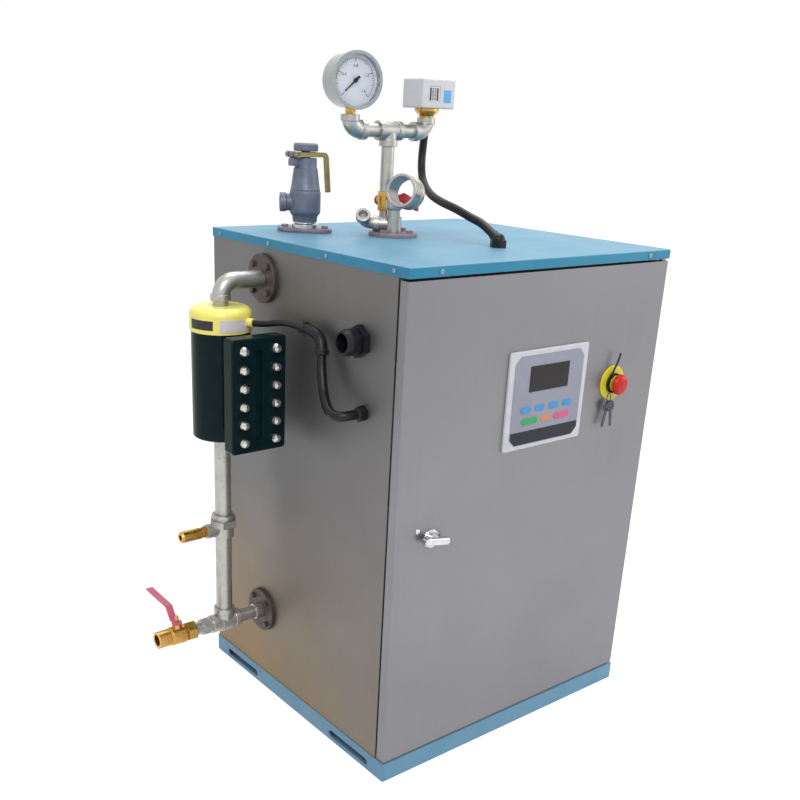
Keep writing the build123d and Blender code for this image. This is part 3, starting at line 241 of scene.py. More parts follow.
def make_grain():
    """Fine pits and bumps over edges that are slightly rounded."""
    work, given, normal = new_effect("grain", "Normal", VECTOR, Size=FLOAT, Strength=FLOAT, Depth=FLOAT,
                                     Edge=FLOAT)
    soft = work.softened(given["Edge"])
    bump = work.node("ShaderNodeBump", Height=work.noise(given["Place"], given["Size"]),
                     Strength=given["Strength"], Distance=given["Depth"], Normal=soft)
    work.link(bump.outputs["Normal"], normal)


def make_worn_edge():
    """A broken line along the edges, where the rounded normal leaves the flat one."""
    work, given, mask = new_effect("worn_edge", "Mask", FLOAT, Width=FLOAT, Amount=FLOAT)
    soft = work.softened(given["Width"])
    flat = work.node("ShaderNodeNewGeometry").outputs["Normal"]
    agreeing = work.node("ShaderNodeVectorMath")
    agreeing.operation = "DOT_PRODUCT"
    work.link(soft, agreeing.inputs[0])
    work.link(flat, agreeing.inputs[1])
    sharp = work.span(agreeing.outputs["Value"], 0.995, 0.90, 0.0, 1.0)
    broken = work.span(work.noise(given["Place"], 190.0, detail=4.0), 0.42, 0.62, 0.0, 1.0)
    work.link(work.times(sharp, broken, given["Amount"]), mask)


def make_dust_and_top_sheen():
    """A thin veil on what lies flat: dust, and a painted sheen that makes the tops lighter."""
    work, given, mask = new_effect("dust_and_top_sheen", "Mask", FLOAT, Size=FLOAT, Amount=FLOAT)
    flat = work.node("ShaderNodeNewGeometry").outputs["Normal"]
    height = work.node("ShaderNodeSeparateXYZ", Vector=flat).outputs["Z"]
    lying = work.span(height, 0.3, 0.9, 0.0, 1.0)
    drift = work.noise(given["Place"], given["Size"], detail=5.0, distortion=0.6)
    veil = work.span(drift, 0.25, 0.75, 0.55, 1.0)
    work.link(work.times(lying, veil, given["Amount"]), mask)


def make_rolling_lines():
    """Fine lines drawn out upright."""
    work, given, lines = new_effect("rolling_lines", "Lines", FLOAT, Fineness=FLOAT)
    drawn = work.stretched(given["Place"], (1.0, 1.0, 0.015))
    work.link(work.noise(drawn, given["Fineness"], detail=2.0), lines)


# Finishes

class Finish(Wiring):
    """One finish: a Principled shader on object coordinates, fed by the shared effects."""

    def __init__(self, name, metal=0.0, coat=0.0, coat_rough=0.1, specular=0.5):
        self.name = name
        self.material = bpy.data.materials.new(name)
        self.material.use_nodes = True
        super().__init__(self.material.node_tree)
        self.shader = self.tree.nodes["Principled BSDF"]
        self.feed(Metallic=metal, Coat_Weight=coat, Coat_Roughness=coat_rough, Specular_IOR_Level=specular)
        self.place = self.node("ShaderNodeTexCoord").outputs["Object"]

    def effect(self, name, **inputs):
        node = self.tree.nodes.new("ShaderNodeGroup")
        node.node_tree = bpy.data.node_groups[name]
        for label, value in {"Place": self.place, **inputs}.items():
            self.link(value, node.inputs[label])
        return node.outputs[0]

    def tones(self, size, first, second):
        return self.effect("two_tones", Size=size, First=tone(*first), Second=tone(*second))

    def axis(self, name):
        return self.node("ShaderNodeSeparateXYZ", Vector=self.place).outputs[name]

    def feed(self, **values):
        for name, value in values.items():
            self.link(value, self.shader.inputs[name.replace("_", " ")])
        return self


def painted(name, first, second, size=30.0, gloss=(0.35, 0.5), grain=600.0, strength=0.12, depth=0.0004,
            worn=0.0, bare=(150, 150, 152), dust_and_sheen=0.0, **extra):
    """Paint or plastic of two close tones, with fine grain, worn edges, and some dust with a painted sheen
    where it lies flat.
    """
    gloss_size = size * 2.3
    worn_width = 0.0022
    dust_and_sheen_size, dust_and_sheen_tone, dust_and_sheen_roughness = 9.0, (206, 214, 218), 0.25
    finish = Finish(name, **extra)
    colour = finish.tones(size, first, second)
    rough = finish.effect("uneven_gloss", Size=gloss_size, Least=gloss[0], Most=gloss[1])
    if worn:
        edges = finish.effect("worn_edge", Width=worn_width, Amount=worn)
        colour = finish.blend(edges, colour, tone(*bare))
    # Dust and a painted sheen: a pale veil lightens what faces up
    if dust_and_sheen:
        veil = finish.effect("dust_and_top_sheen", Size=dust_and_sheen_size, Amount=dust_and_sheen)
        colour = finish.blend(veil, colour, tone(*dust_and_sheen_tone))
        rough = finish.math("ADD", rough, finish.times(veil, dust_and_sheen_roughness))
    normal = finish.effect("grain", Size=grain, Strength=strength, Depth=depth, Edge=0.0008)
    return finish.feed(Base_Color=colour, Roughness=rough, Normal=normal)


def cast(name, first, second, size=42.0, gloss=(0.30, 0.42), metal=0.85, pits=420.0, strength=0.22,
         stain=None, stained=0.4, worn=0.0, bare=(190, 190, 192)):
    """A casting or a fitting: soft tones, light pitting, softened edges and sometimes stains."""
    gloss_size, stain_size = 90.0, 95.0
    worn_width = 0.0016
    finish = Finish(name, metal)
    colour = finish.tones(size, first, second)
    if stain:
        cloud = finish.noise(finish.place, stain_size, detail=5.0, distortion=0.8)
        spots = finish.span(cloud, 0.52, 0.68, 0.0, stained)
        colour = finish.blend(spots, colour, tone(*stain))
    if worn:
        edges = finish.effect("worn_edge", Width=worn_width, Amount=worn)
        colour = finish.blend(edges, colour, tone(*bare))
    rough = finish.effect("uneven_gloss", Size=gloss_size, Least=gloss[0], Most=gloss[1])
    normal = finish.effect("grain", Size=pits, Strength=strength, Depth=0.0005, Edge=0.0014)
    return finish.feed(Base_Color=colour, Roughness=rough, Normal=normal)


def satin_sheet(name, first, second, warm_reflection=0.0, gloss=(0.42, 0.50), lines=0.02):
    """Satin stainless sheet: faint upright rolling lines, cloudy tones, and a painted warm reflection low
    at the back.
    """
    cloud_size, reflection_breakup_size, gloss_size, fineness = 2.0, 9.0, 7.0, 280.0
    reflection_tint, line_tone = (150, 124, 86), (205, 205, 206)
    finish = Finish(name, metal=1.0)
    colour = finish.tones(cloud_size, first, second)
    # Painted reflection: a warm tint, low down and towards the back, broken up by noise
    if warm_reflection:
        low = finish.span(finish.axis("Z"), 0.05, 0.50, 1.0, 0.0)
        back = finish.span(finish.axis("Y"), -0.30, 0.28, 0.35, 1.0)
        reflection_breakup = finish.noise(finish.place, reflection_breakup_size, detail=4.0, distortion=1.0)
        uneven = finish.span(reflection_breakup, 0.3, 0.7, 0.55, 1.0)
        colour = finish.blend(finish.times(low, back, warm_reflection, uneven), colour, tone(*reflection_tint))
    drawn = finish.effect("rolling_lines", Fineness=fineness)
    colour = finish.blend(finish.span(drawn, 0.35, 0.65, 0.0, lines), colour, tone(*line_tone))
    rough = finish.effect("uneven_gloss", Size=gloss_size, Least=gloss[0], Most=gloss[1])
    bump = finish.node("ShaderNodeBump", Height=drawn, Strength=0.012, Distance=0.0002,
                       Normal=finish.softened(0.0008))
    return finish.feed(Base_Color=colour, Roughness=rough, Normal=bump.outputs["Normal"])


def key_finish():
    """The membrane keys: a blue row over a green, an orange and a pink key, parted by where they lie."""
    rows_part_z = 0.7070
    green_ends_x, orange_ends_x = -0.0055, 0.0315
    patches = 70.0
    finish = Finish("membrane_keys")
    upper = finish.math("GREATER_THAN", finish.axis("Z"), rows_part_z)
    past_orange = finish.math("GREATER_THAN", finish.axis("X"), orange_ends_x)
    past_green = finish.math("GREATER_THAN", finish.axis("X"), green_ends_x)
    green = finish.tones(patches, (30, 156, 84), (38, 166, 92))
    orange = finish.tones(patches, (202, 132, 66), (210, 142, 78))
    pink = finish.tones(patches, (206, 84, 132), (214, 94, 140))
    blue = finish.tones(patches, (50, 138, 208), (62, 150, 214))
    lower = finish.blend(past_orange, finish.blend(past_green, green, orange), pink)
    rough = finish.effect("uneven_gloss", Size=patches, Least=0.34, Most=0.46)
    normal = finish.effect("grain", Size=500.0, Strength=0.1, Depth=0.0003, Edge=0.0005)
    return finish.feed(Base_Color=finish.blend(upper, lower, blue), Roughness=rough, Normal=normal)


def glass_finish():
    """The gauge's thin glass, faintly clouded."""
    finish = Finish("clear_glass")
    colour = finish.tones(20.0, (246, 248, 250), (240, 244, 247))
    rough = finish.effect("uneven_gloss", Size=30.0, Least=0.02, Most=0.05)
    normal = finish.effect("grain", Size=40.0, Strength=0.02, Depth=0.0002, Edge=0.0002)
    finish.feed(Base_Color=colour, Roughness=rough, Normal=normal)
    return finish.feed(Transmission_Weight=1.0, IOR=1.12)


def cabinet_finishes():
    return [
        satin_sheet("stainless", (136, 135, 138), (131, 130, 134)),
        # Painted shade: the side sheet is a darker copy of the front's stainless
        satin_sheet("stainless_shaded_side", (123, 122, 122), (117, 116, 116), warm_reflection=1.0, gloss=(0.50, 0.58),
                    lines=0.01),
        # The lid's pale veil on top is dust and a painted sheen of the light from above
        painted("blue_lid", (48, 129, 163), (56, 137, 170), size=5.0, gloss=(0.34, 0.44), grain=900.0,
                strength=0.05, worn=0.5, bare=(130, 180, 200), dust_and_sheen=0.20, coat=0.05, coat_rough=0.24,
                specular=0.22),
        painted("blue_base", (88, 144, 176), (100, 150, 180), size=14.0, gloss=(0.34, 0.5), grain=800.0,
                worn=0.6, bare=(150, 164, 172), dust_and_sheen=0.2, coat=0.15, coat_rough=0.3),
        painted("zinc_plate", (168, 170, 172), (150, 153, 158), size=45.0, gloss=(0.34, 0.46), metal=1.0),
        painted("screw_steel", (150, 168, 178), (130, 150, 160), size=120.0, gloss=(0.3, 0.42), metal=0.8),
        painted("insulation", (188, 190, 194), (172, 175, 180), size=16.0, gloss=(0.34, 0.5), grain=90.0,
                strength=0.3, depth=0.002, metal=0.7),
        painted("heater_paint", (92, 96, 101), (80, 84, 90), gloss=(0.4, 0.55), dust_and_sheen=0.2),
        painted("gear_plastic", (66, 68, 72), (76, 78, 82), size=60.0, gloss=(0.4, 0.55)),
    ]


def door_finishes():
    return [
        painted("chrome", (208, 208, 211), (194, 194, 199), size=60.0, gloss=(0.08, 0.17), strength=0.03,
                metal=1.0),
        painted("bezel_grey", (208, 208, 214), (200, 200, 208), size=40.0, gloss=(0.38, 0.5)),
        painted("panel_lilac", (149, 150, 165), (143, 144, 160), size=20.0, gloss=(0.36, 0.46)),
        painted("display_dark", (34, 25, 27), (26, 20, 24), size=18.0, gloss=(0.16, 0.24), strength=0.02,
                specular=0.3),
        painted("band_black", (26, 28, 42), (20, 22, 36), size=60.0, gloss=(0.34, 0.44), specular=0.3),
        painted("stop_yellow", (226, 216, 48), (216, 204, 40), size=60.0, gloss=(0.25, 0.38)),
        painted("stop_red", (200, 34, 26), (190, 30, 24), size=50.0, gloss=(0.30, 0.42), specular=0.3),
        painted("black_plastic", (15, 15, 20), (21, 21, 27), size=50.0, gloss=(0.32, 0.46), worn=0.3,
                bare=(60, 60, 66), specular=0.3),
        painted("tag_grey", (74, 76, 88), (60, 62, 74), size=60.0, gloss=(0.3, 0.42), metal=0.4),
        key_finish(),
    ]


def fitting_finishes():
    return [
        cast("flange_steel", (140, 128, 138), (124, 114, 124), gloss=(0.40, 0.55), metal=0.35,
             stain=(118, 88, 82), stained=0.3),
        cast("side_flange_steel", (84, 74, 72), (70, 63, 63), gloss=(0.38, 0.52), metal=0.5,
             stain=(112, 74, 52)),
        cast("valve_grey", (107, 113, 130), (96, 102, 119), gloss=(0.36, 0.5), metal=0.2, pits=500.0,
             strength=0.35, worn=0.5, bare=(136, 140, 152)),
        cast("galvanised", (182, 181, 177), (170, 170, 167), size=26.0, gloss=(0.30, 0.40), strength=0.07,
             stain=(140, 124, 100), stained=0.25),
        cast("brass", (208, 164, 90), (188, 144, 72), gloss=(0.22, 0.36), metal=1.0, pits=600.0,
             strength=0.15),
        cast("lever_brass", (150, 140, 98), (136, 126, 88), gloss=(0.34, 0.48), metal=0.9, pits=600.0,
             worn=0.6, bare=(196, 186, 140)),
        painted("bright_steel", (214, 213, 210), (198, 197, 196), size=80.0, gloss=(0.16, 0.28),
                grain=900.0, metal=1.0),
        painted("bolt_zinc", (206, 206, 200), (182, 183, 180), size=120.0, gloss=(0.16, 0.3), grain=500.0,
                metal=1.0),
        painted("handle_red", (190, 34, 44), (176, 28, 40), size=60.0, gloss=(0.28, 0.4), worn=0.3,
                bare=(120, 60, 60)),
        painted("handle_pink", (208, 100, 126), (194, 88, 114), size=60.0, gloss=(0.3, 0.42), worn=0.4,
                bare=(170, 150, 150)),
    ]


def instrument_finishes():
    return [
        painted("gauge_case_grey", (158, 168, 166), (150, 160, 158), gloss=(0.22, 0.34), strength=0.04,
                coat=0.3, metal=0.25),
        painted("dial_white", (222, 222, 228), (216, 216, 223), gloss=(0.4, 0.5), strength=0.05),
        painted("needle_black", (16, 16, 20), (24, 24, 28), size=80.0, gloss=(0.3, 0.45)),
        glass_finish(),
        painted("mark_black", (24, 24, 28), (30, 30, 34), size=60.0, gloss=(0.4, 0.5)),
        painted("switch_white", (208, 207, 210), (202, 201, 205), size=40.0, gloss=(0.26, 0.38), dust_and_sheen=0.15),
        painted("label_white", (222, 216, 218), (214, 208, 212), size=60.0, gloss=(0.4, 0.5)),
        painted("label_blue", (92, 168, 222), (84, 160, 216), size=60.0, gloss=(0.4, 0.5)),
        painted("cable_black", (16, 14, 15), (22, 19, 20), size=90.0, gloss=(0.28, 0.40), grain=700.0,
                strength=0.15, specular=0.3),
        painted("cap_yellow", (248, 238, 122), (244, 232, 112), gloss=(0.20, 0.32), grain=300.0, coat=0.3,
                coat_rough=0.15),
        painted("chamber_green", (12, 34, 38), (9, 29, 33), size=40.0, gloss=(0.14, 0.24), grain=260.0,
                strength=0.1, worn=0.3, bare=(40, 64, 66), coat=0.02, specular=0.08),
    ]


make_two_tones()
make_uneven_gloss()
make_grain()
make_worn_edge()
make_dust_and_top_sheen()
make_rolling_lines()
made = cabinet_finishes() + door_finishes() + fitting_finishes() + instrument_finishes()
finishes = {finish.name: finish.material for finish in made}

# Nodes whose finish isn't the one of their slot
dressed = {
    # The left side panel takes the darker copy of the stainless, which is painted shade
    "left_side_panel": "stainless_shaded_side",
    "display_window": "display_dark",
    "membrane_keys": "membrane_keys",
    "side_flanges": "side_flange_steel",
}
for row in frame["record"]["subparts"]:
    thing = nodes[row["node"]]
    if not thing.data.materials:
        thing.data.materials.append(None)
    for slot in thing.material_slots:
        slot.material = finishes[dressed.get(row["node"], row["material_slot"])]
for thing in (switch_cord, level_cord):
    thing.data.materials.append(finishes["cable_black"])


# Modelling piece by piece

def only(thing):
    """Leaves this piece alone selected."""
    bpy.ops.object.select_all(action="DESELECT")
    thing.select_set(True)
    bpy.context.view_layer.objects.active = thing


def started(name):
    """Names the piece that an operator has just made, and leaves its place in its mesh."""
    thing = bpy.context.active_object
    thing.name = name
    thing.data.name = name
    if thing.type == "MESH":
        bpy.ops.object.transform_apply(location=True, rotation=True, scale=True)
    return thing


def opened(thing, kind="FACE"):
    """Opens a piece in edit mode with nothing selected."""
    only(thing)
    bpy.ops.object.mode_set(mode="EDIT")
    bpy.ops.mesh.select_mode(type=kind)
    bpy.ops.mesh.select_all(action="DESELECT")


def closed():
    """Back to object mode."""
    bpy.ops.object.mode_set(mode="OBJECT")


def pick(thing, wanted, kind="faces"):
    """Selects the faces, edges or vertices that are wanted, by their place or normal."""
    mesh = bmesh.from_edit_mesh(thing.data)
    for part in getattr(mesh, kind):
        if wanted(part):
            part.select_set(True)
    mesh.select_flush_mode()
    bmesh.update_edit_mesh(thing.data)


def extruded(shift):
    """Draws out what is selected by a shift in millimetres."""
    bpy.ops.mesh.extrude_region_move(TRANSFORM_OT_translate={"value": Vector(shift) * mm})


def inset(width, rise):
    """Sets in the selected faces by a width and lifts their middle, in millimetres."""
    bpy.ops.mesh.inset(thickness=width * mm, depth=rise * mm)


def spun(steps, angle):
    """Spins what is selected round Z, clockwise as seen from above."""
    bpy.ops.mesh.spin(steps=steps, angle=radians(angle), center=(0, 0, 0), axis=(0, 0, 1))


def placed(thing, where):
    """Moves a piece by a matrix and leaves the move in its mesh."""
    only(thing)
    thing.matrix_world = where
    bpy.ops.object.transform_apply(location=True, rotation=True, scale=True)
    return thing


def turn_to(along):
    """The turn that brings Z to this direction, and none for UP itself."""
    return Matrix.Identity(4) if along.z > 0.999 else along.to_track_quat("Z", "Y").to_matrix().to_4x4()


def turned(angle, axis):
    return Matrix.Rotation(radians(angle), 4, axis)


def set_down(thing, start, along=UP, spin=0.0):
    """Puts a piece made round its own Z in its place: start in millimetres, the way it points, its spin."""
    return placed(thing, Matrix.Translation(start * mm) @ turn_to(along) @ turned(spin, "Z"))


def copied(thing, name):
    only(thing)
    bpy.ops.object.duplicate(linked=False)
    return started(name)


def joined(name, things):
    only(things[0])
    for thing in things:
        thing.select_set(True)
    bpy.ops.object.join()
    return started(name)


def thrown_away(thing):
    bpy.data.objects.remove(thing)


def applied(thing, kind, **settings):
    """Adds a modifier to a piece and applies it."""
    only(thing)
    modifier = thing.modifiers.new(kind.lower(), kind)
    for name, value in settings.items():
        setattr(modifier, name, value)
    bpy.ops.object.modifier_apply(modifier=modifier.name)
    return thing


def eased(thing, width, segments=2, angle=40.0):
    """Bevels the edges that are sharper than the angle."""
    return applied(thing, "BEVEL", width=width * mm, segments=segments, limit_method="ANGLE",
                   angle_limit=radians(angle), harden_normals=False)


def cut_by(thing, cutter):
    """Cuts a piece with another and throws the other away."""
    applied(thing, "BOOLEAN", object=cutter, operation="DIFFERENCE", solver="EXACT")
    thrown_away(cutter)
    return thing


def done(thing, finish, body, slot, stands_for=()):
    """Merges doubles, turns the faces outwards, shades, and gives the piece its finish and its body."""
    opened(thing)
    bpy.ops.mesh.select_all(action="SELECT")
    bpy.ops.mesh.remove_doubles(threshold=0.001 * mm)
    bpy.ops.mesh.normals_make_consistent(inside=False)
    closed()
    bpy.ops.object.shade_smooth_by_angle(angle=radians(35.0))
    thing.data.materials.clear()
    thing.data.materials.append(finishes[finish])
    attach(thing, body)
    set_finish(thing, slot)
    if stands_for:
        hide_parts(*stands_for)
    return thing


def lathe(name, outline, steps):
    """A turned form round Z: half its outline, (radius, rise) in millimetres, is drawn and spun."""
    bpy.ops.mesh.primitive_plane_add(size=mm)
    thing = started(name)
    opened(thing, "VERT")
    bpy.ops.mesh.select_all(action="SELECT")
    bpy.ops.mesh.merge(type="CENTER")
    here = Vector((outline[0][0], 0, outline[0][1]))
    bpy.ops.transform.translate(value=here * mm)
    for radius, rise in outline[1:]:
        there = Vector((radius, 0, rise))
        extruded(there - here)
        here = there
    bpy.ops.mesh.select_all(action="SELECT")
    spun(steps, 360)
    bpy.ops.mesh.select_all(action="SELECT")
    bpy.ops.mesh.remove_doubles(threshold=0.01 * mm)
    bpy.ops.mesh.normals_make_consistent(inside=False)
    closed()
    return thing


def block(name, size, centre=(0, 0, 0)):
    """A block, size and centre in millimetres, whose size lies in its mesh."""
    bpy.ops.mesh.primitive_cube_add(size=mm)
    thing = started(name)
    thing.scale = size
    thing.location = Vector(centre) * mm
    bpy.ops.object.transform_apply(location=True, rotation=True, scale=True)
    return thing


def cylinder(name, radius, height, sides, middle=0.0):
    """A cylinder round Z in millimetres, whose middle stands this high."""
    bpy.ops.mesh.primitive_cylinder_add(vertices=sides, radius=radius * mm, depth=height * mm,
                                        location=(0, 0, middle * mm))
    return started(name)


def hexagon(name, across, height):
    """A bolt's head standing on the origin, with its top corners taken down."""
    chamfer = 0.8
    thing = cylinder(name, across / 2 / cos(radians(30)), height, 6, height / 2)
    opened(thing)
    pick(thing, lambda face: face.normal.z > 0.9)
    inset(chamfer, chamfer * 0.5)
    closed()
    return eased(thing, 0.4, 2, 30)


# Screws of the lid's skirt

def make_lid_screws():
    """Ten pan heads with a crossed recess, each turned another way and set into the skirt."""
    head_r, head_t, recess_w, recess_arm = 4.2, 2.0, 0.9, 1.5
    skirt_x, skirt_y, screw_z = 349.6, -320.0, 990.5
    side_y, front_x = (101.7, -88.8, -281.1, 285.0), (-280, 280)
    first_turn, next_turn = 20, 37

    head = cylinder("screw", head_r, head_t, 24, head_t / 2)
    opened(head)
    pick(head, lambda face: face.normal.z > 0.9)
    inset(0.7, 0.5)
    inset(0.9, 0.25)
    closed()
    cross = block("cross", (recess_w, recess_w, 3.0), (0, 0, 2.9))
    opened(cross)
    pick(cross, lambda face: abs(face.normal.z) < 0.1)
    bpy.ops.mesh.extrude_faces_move(TRANSFORM_OT_shrink_fatten={"value": recess_arm * mm})
    closed()
    cut_by(head, cross)

    seats = [(Vector((side * skirt_x, y, screw_z)), RIGHT * side) for side in (-1, 1) for y in side_y]
    seats += [(Vector((x, skirt_y, screw_z)), FRONT) for x in front_x]
    screws = []
    for i, (seat, out) in enumerate(seats):
        screws.append(set_down(copied(head, f"screw_{i}"), seat, out, first_turn + next_turn * i))
    thrown_away(head)
    done(joined("lid_screws", screws), "screw_steel", "boiler", "bolt_zinc")


# Controller face: the dark band along its bottom, with cut ends

def make_controller_band():
    band_h, band_t, margin, cut_corner = 26, 0.4, 1, 13
    low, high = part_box("panel_face")
    middle = (low.x + high.x) / 2 / mm
    width = (high.x - low.x) / mm - 2 * margin
    band = block("controller_band", (width, band_t, band_h),
                 (middle, low.y / mm - band_t / 2, low.z / mm + margin + band_h / 2))

    def is_lower_corner(edge):
        first, second = (v.co for v in edge.verts)
        is_low = max(first.z, second.z) < low.z + 2 * mm
        return is_low and abs(first.x - second.x) < 0.1 * mm
    opened(band, "EDGE")
    pick(band, is_lower_corner, "edges")
    bpy.ops.mesh.bevel(offset=cut_corner * mm, segments=1, affect="EDGES")
    closed()
    done(eased(band, 0.1, 1), "band_black", "door", "black_plastic")


# Pressure gauge: scale and numbers on the dial

gauge_centre = Vector((-160, 104, 1292))
gauge_turn = radians(-12.0)
# How far the front stands out from the centre, and how far behind the front the dial lies
gauge_front, dial_in = 31, 14
dial_right = Vector((cos(gauge_turn), sin(gauge_turn), 0))
dial_facing = Vector((sin(gauge_turn), -cos(gauge_turn), 0))
dial_place = (Matrix.Translation((gauge_centre + dial_facing * (gauge_front - dial_in)) * mm)
              @ Matrix((dial_right, UP, dial_facing)).transposed().to_4x4())
scale_start, scale_sweep = 225, 270
scale_r = 40.0
ink = 0.25


def on_dial(thing, angle, radius=0.0, lift=0.0, upright=False):
    """Puts a piece on the dial: its own X points outwards at that angle, unless it stands upright."""
    shift = Matrix.Translation((radius * mm, 0, lift * mm))
    back = turned(-angle, "Z") if upright else Matrix.Identity(4)
    return placed(thing, dial_place @ turned(angle, "Z") @ shift @ back)


def make_dial_marks():
    """Forty steps of the scale, longer at each fifth and tenth, on a thin arc."""
    steps = 40
    kinds = {"major": (33.0, 1.2), "medium": (35.0, 0.8), "minor": (37.0, 0.5)}
    strokes = {}
    for kind, (inner_r, width) in kinds.items():
        size = (scale_r - inner_r, width, ink)
        stroke = block(kind, size, ((scale_r + inner_r) / 2, 0, ink / 2))
        strokes[kind] = eased(stroke, 0.06, 1)
    marks = []
    for i in range(steps + 1):
        kind = "major" if i % 10 == 0 else "medium" if i % 5 == 0 else "minor"
        marks.append(on_dial(copied(strokes[kind], f"mark_{i}"), scale_start - scale_sweep * i / steps))
    for stroke in strokes.values():
        thrown_away(stroke)

    arc_w = 0.5
    arc = block("arc", (arc_w, 0.02, ink), (scale_r + arc_w / 2, 0, ink / 2))
    opened(arc)
    pick(arc, lambda face: face.normal.y < -0.9)
    spun(72, scale_sweep)
    closed()
    marks.append(on_dial(arc, scale_start))
    done(joined("dial_marks", marks), "mark_black", "boiler", "needle_black")


def make_numbers():
    """The numbers 0 to 1.6 round the dial, from Blender's own letters."""
    number_h, number_t, number_r = 8.5, 0.12, 26.0
    texts = ("0", "0.4", "0.8", "1.2", "1.6")
    numbers = []
    for i, text in enumerate(texts):
        bpy.ops.object.text_add(location=(0, 0, 0))
        letters = bpy.context.active_object
        letters.data.body = text
        letters.data.size = number_h * mm
        letters.data.extrude = number_t * mm
        letters.data.align_x = "CENTER"
        letters.data.align_y = "CENTER"
        only(letters)
        bpy.ops.object.convert(target="MESH")
        angle = scale_start - scale_sweep * i / (len(texts) - 1)
        numbers.append(on_dial(started(f"number_{i}"), angle, number_r, lift=0.13, upright=True))
    done(joined("dial_numbers", numbers), "mark_black", "boiler", "needle_black")


# Pressure switch: scale card in its window, its marks, and the blank blue plate beside it

def card(name, x, z, width, height, y, thick, corner):
    """A thin card on the switch's front, with rounded corners and an eased face."""
    plate = block(name, (width, thick, height), (x, y - thick / 2, z))
    opened(plate, "EDGE")
    pick(plate, lambda edge: abs(edge.verts[0].co.y - edge.verts[1].co.y) > 0.9 * thick * mm, "edges")
    bpy.ops.mesh.bevel(offset=corner * mm, segments=3, affect="EDGES")
    closed()
    return eased(plate, 0.1, 1)


def make_switch_face():
    face_y, window_y, card_t, mark_t = 73.0, 74.2, 0.5, 0.3
    scale_x, scale_z, scale_w, scale_h = 30, 1276, 30.5, 28.5
    rail_w, rail_h, rails_x = 4.4, 24, (-10, 9)
    line_w, line_h, lines_x = 4.6, 1.4, (-3.8, 2.6)
    lines, first_z, pitch = 9, 1265.5, 2.65

    scale = card("switch_scale", scale_x, scale_z, scale_w, scale_h, window_y, card_t, 1.0)
    done(scale, "label_white", "boiler", "switch_white")
    marks_y = window_y - card_t
    marks = [card("rail", scale_x + x, scale_z, rail_w, rail_h, marks_y, mark_t, 0.5) for x in rails_x]
    for i in range(lines):
        z = first_z + pitch * i
        marks += [card("line", scale_x + x, z, line_w, line_h, marks_y, mark_t, 0.2) for x in lines_x]
    done(joined("switch_marks", marks), "mark_black", "boiler", "black_plastic")
    done(card("switch_patch", 65.5, 1273, 20, 24, face_y, 0.4, 1.5), "label_blue", "boiler", "key_blue")


# Yellow cap: two blank labels wrapped on its side

column = Vector((-448, 118, 0))
cap_r = 61.0


def make_cap_label(name, low, high, start, end, finish):
    """A label between two heights, wrapped from one angle round the column to another."""
    half_thick = 0.2
    strip = block(name, (2 * half_thick, 0.02, high - low), (cap_r + half_thick, 0, (high + low) / 2))
    opened(strip)
    pick(strip, lambda face: face.normal.y < -0.9)
    spun(24, end - start)
    closed()
    done(set_down(strip, column, UP, end), finish, "boiler", "cap_yellow")


# Emergency stop: the neck's dark sleeve, partly painted shade between the disc and the head, a tie with its
# long tail, and two keys on a ring

stop_x, stop_z = 212, 739
stop_neck = Vector((stop_x, -321.1, stop_z))


def make_stop_collar_and_shade():
    # A dark sleeve on the neck that is partly painted shade: it also stands for the shadow between the
    # yellow disc and the red head
    outline = [(16.3, 0), (19.5, 0), (19.5, 2), (17.4, 4), (17.4, 6.4), (16.3, 6.4), (16.3, 0)]
    sleeve = set_down(lathe("stop_collar_and_shade", outline, 40), stop_neck, FRONT)
    done(sleeve, "black_plastic", "door", "black_plastic")


def make_stop_tie():
    """A band round the sleeve, its lock, and a tail that is drawn up and leans to the right."""
    tie_x = stop_x - 9
    band = lathe("band", [(19.6, 0.4), (20.9, 0.6), (20.9, 4.4), (19.6, 4.6), (19.6, 0.4)], 40)
    set_down(band, stop_neck, FRONT)
    tail = block("tail", (7, 1.6, 8), (tie_x, -325, stop_z + 19))
    opened(tail)
    pick(tail, lambda face: face.normal.z > 0.9)
    for shift in ((1, -3, 9), (2, -3, 10), (3, -1, 11), (3, 0, 11)):
        extruded(shift)
    closed()
    tail = applied(eased(tail, 0.5, 1, 60), "SUBSURF", levels=1, render_levels=1)
    lock = eased(block("lock", (9, 5, 8), (tie_x, -325.2, stop_z + 16)), 0.8)
    done(joined("stop_tie", [band, tail, lock]), "black_plastic", "door", "black_plastic")


def make_stop_keys():
    """A ring under the stop with two flat keys, which lean apart."""
    bow_z = stop_z - 45
    bpy.ops.mesh.primitive_torus_add(major_segments=28, minor_segments=8, major_radius=9 * mm,
                                     minor_radius=0.9 * mm)
    ring_place = Vector((stop_x - 14, -327.5, stop_z - 28))
    keys = [set_down(started("ring"), ring_place, Vector((0.25, -1, 0.1)).normalized())]
    bow = lathe("key", [(4.5, 0), (11, 0), (12, 0.8), (11, 2.2), (4.5, 2.2), (4.5, 0)], 24)
    blade = block("blade", (7, 32, 2), (0, -25, 1.1))
    opened(blade)
    pick(blade, lambda face: face.normal.y < -0.9)
    inset(1.5, 2.5)
    closed()
    key = joined("key", [bow, eased(blade, 0.4, 1)])
    for i, (x, y, lean) in enumerate(((stop_x - 18, -327.2, 12), (stop_x - 10, -329.8, -9))):
        hanging = Matrix.Translation(Vector((x, y, bow_z)) * mm) @ turned(lean, "Y") @ turned(90, "X")
        keys.append(placed(copied(key, f"key_{i}"), hanging))
    thrown_away(key)
    done(joined("stop_keys", keys), "tag_grey", "door", "black_plastic")


# Rivet beside the latch

def make_latch_rivet():
    dome = [(0, 0), (5.5, 0), (5.5, 0.8), (4.9, 2.0), (3.4, 3.0), (1.5, 3.5), (0, 3.6)]
    rivet = set_down(lathe("latch_rivet", dome, 28), Vector((-296, -318, 524)), FRONT)
    done(rivet, "chrome", "door", "chrome")


# Safety valve: its oval flange and the cast body

safety_axis = Vector((-208, 185, 0))
lever_pivot = Vector((-239, 185, 1151.5))
lid_top, safety_seat = 1000, 1020


